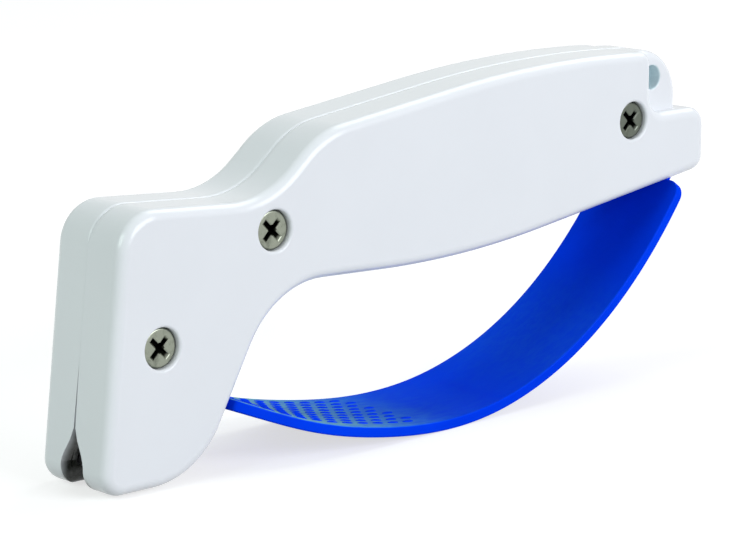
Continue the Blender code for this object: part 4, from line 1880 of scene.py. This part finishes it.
@dataclass
class Studio:
    """White sweep, soft lamps and the camera of the photograph."""

    camera_place: Triple = (-0.32954, -0.35158, 0.12551)
    forward: Triple = (0.66385, 0.71995, -0.20242)
    lens: float = 140.04
    sensor: float = 36.0
    clip: Point = (0.01, 20.0)
    floor_size: float = 6.0
    floor_colour: tuple[float, float, float, float] = (0.5, 0.5, 0.5, 1.0)
    white: tuple[float, float, float, float] = (1.0, 1.0, 1.0, 1.0)
    floor_lift: float = 0.66
    grain_share: float = 0.985
    grain_scale: float = 900.0
    grain_range: Point = (0.2, 0.8)
    ambient: float = 0.27
    softboxes: tuple[Softbox, ...] = (
        Softbox("key_box", (0.35, -1.4, 0.6), (1.1, 0.9), 17.9, (0.93, 0.945, 1.0)),
        Softbox("top_box", (0.9, 0.1, 1.2), (0.9, 0.9), 6.8, (0.96, 1.0, 0.99)),
        Softbox("back_box", (0.96, 1.05, 0.47), (1.0, 0.7), 0.42, (0.97, 1.0, 0.99)),
        Softbox("head_box", (-1.25, 0.08, 0.75), (0.9, 0.7), 8.6, (0.85, 1.0, 0.94)),
    )

    def camera(self) -> None:
        """Adds the camera."""
        data = bpy.data.cameras.new("camera")
        data.lens = self.lens
        data.sensor_width = self.sensor
        data.clip_start, data.clip_end = self.clip
        obj = add_object("camera", data)
        forward = Vector(self.forward).normalized()
        right = forward.cross(Vector((0.0, 0.0, 1.0))).normalized()
        up = right.cross(forward)
        turn = Matrix((right, up, -forward)).transposed()
        obj.matrix_world = Matrix.Translation(self.camera_place) @ turn.to_4x4()
        bpy.context.scene.camera = obj

    def floor(self) -> None:
        """Adds the floor, lifted to white for the camera, with the object's shadow kept."""
        s = self.floor_size
        corners = [(-s, -s, 0.0), (s, -s, 0.0), (s, s, 0.0), (-s, s, 0.0)]
        obj = new_piece("studio_floor", corners, [(0, 1, 2, 3)])
        bench = Bench(bpy.data.materials.new("floor_paper"))
        grain = bench.noise(bench.place(), self.grain_scale).ramp(*self.grain_range)
        low = (*(c * self.grain_share for c in self.floor_colour[:3]), 1.0)
        paper = bench.add("ShaderNodeBsdfDiffuse", {}, {"Color": bench.mix(grain, low, self.floor_colour)})
        lift = bench.seen() * self.floor_lift
        glow = bench.add("ShaderNodeEmission", {}, {"Color": self.white, "Strength": lift})
        bench.add_output(bench.add("ShaderNodeAddShader", {}, {0: paper, 1: glow}))
        obj.data.materials.append(bench.owner)

    def world(self) -> None:
        """Sets a plain world that is white where the camera, a gloss or a glass sees it."""
        world = bpy.data.worlds.new("studio")
        bpy.context.scene.world = world
        bench = Bench(world)
        spread = {"Value": bench.seen(), "To Min": self.ambient, "To Max": 1.0}
        strength = bench.add("ShaderNodeMapRange", {}, spread)
        back = bench.add("ShaderNodeBackground", {}, {"Strength": strength})
        bench.add_output(back, "ShaderNodeOutputWorld")

    def make(self) -> None:
        """Builds the whole studio."""
        self.camera()
        self.floor()
        self.world()
        low, high = CAD_BOUNDS
        for box in self.softboxes:
            box.make((low + high) / 2)
        bpy.context.scene.view_settings.view_transform = "Standard"


def main() -> None:
    """Builds every piece in order, then the studio."""
    logging.basicConfig(level=logging.INFO, format="%(name)s: %(message)s")
    hole_x, hole_z = BUILD.place(BUILD.hole_shares)
    white = ShellPlastic(
        "white_shell_plastic", colour=(0.83, 0.855, 0.885), clouded=(0.818, 0.843, 0.873), roughness=0.2,
        front=BUILD.front(0.0), front_slope=(BUILD.front(BUILD.height) - BUILD.front(0.0)) / BUILD.height,
        hole_x=hole_x, hole_z=hole_z, hole_radius=Shell.hole / 2,
    ).make()
    blue = GuardPlastic(
        "blue_guard_plastic", colour=(0.0, 0.053, 0.94), clouded=(0.0, 0.045, 0.86), roughness=0.35,
        gloss=0.0, sheen=0.03,
    ).make()
    guard = FingerGuard(BUILD)
    blades = [
        Blade(BUILD, "carbide_blade_front", Side.FAR, 0),
        Blade(BUILD, "carbide_blade_rear", Side.NEAR, 1),
    ]
    screws = [Screw(BUILD, label, shares) for label, shares in BUILD.screw_shares[:-1]]
    label, shares = BUILD.screw_shares[-1]
    screws.append(Screw(BUILD, label, shares, plate=(0.13, 0.145, 0.12), film_share=1.0))
    nuts = [Nut(BUILD, screw) for screw in screws]
    for side in Side:
        Shell(BUILD, side, blades, guard, screws, nuts).dress(white)
    guard.dress(blue)
    for piece in (*blades, *screws, *nuts):
        piece.dress()
    Studio().make()


if __name__ == "__main__":
    main()
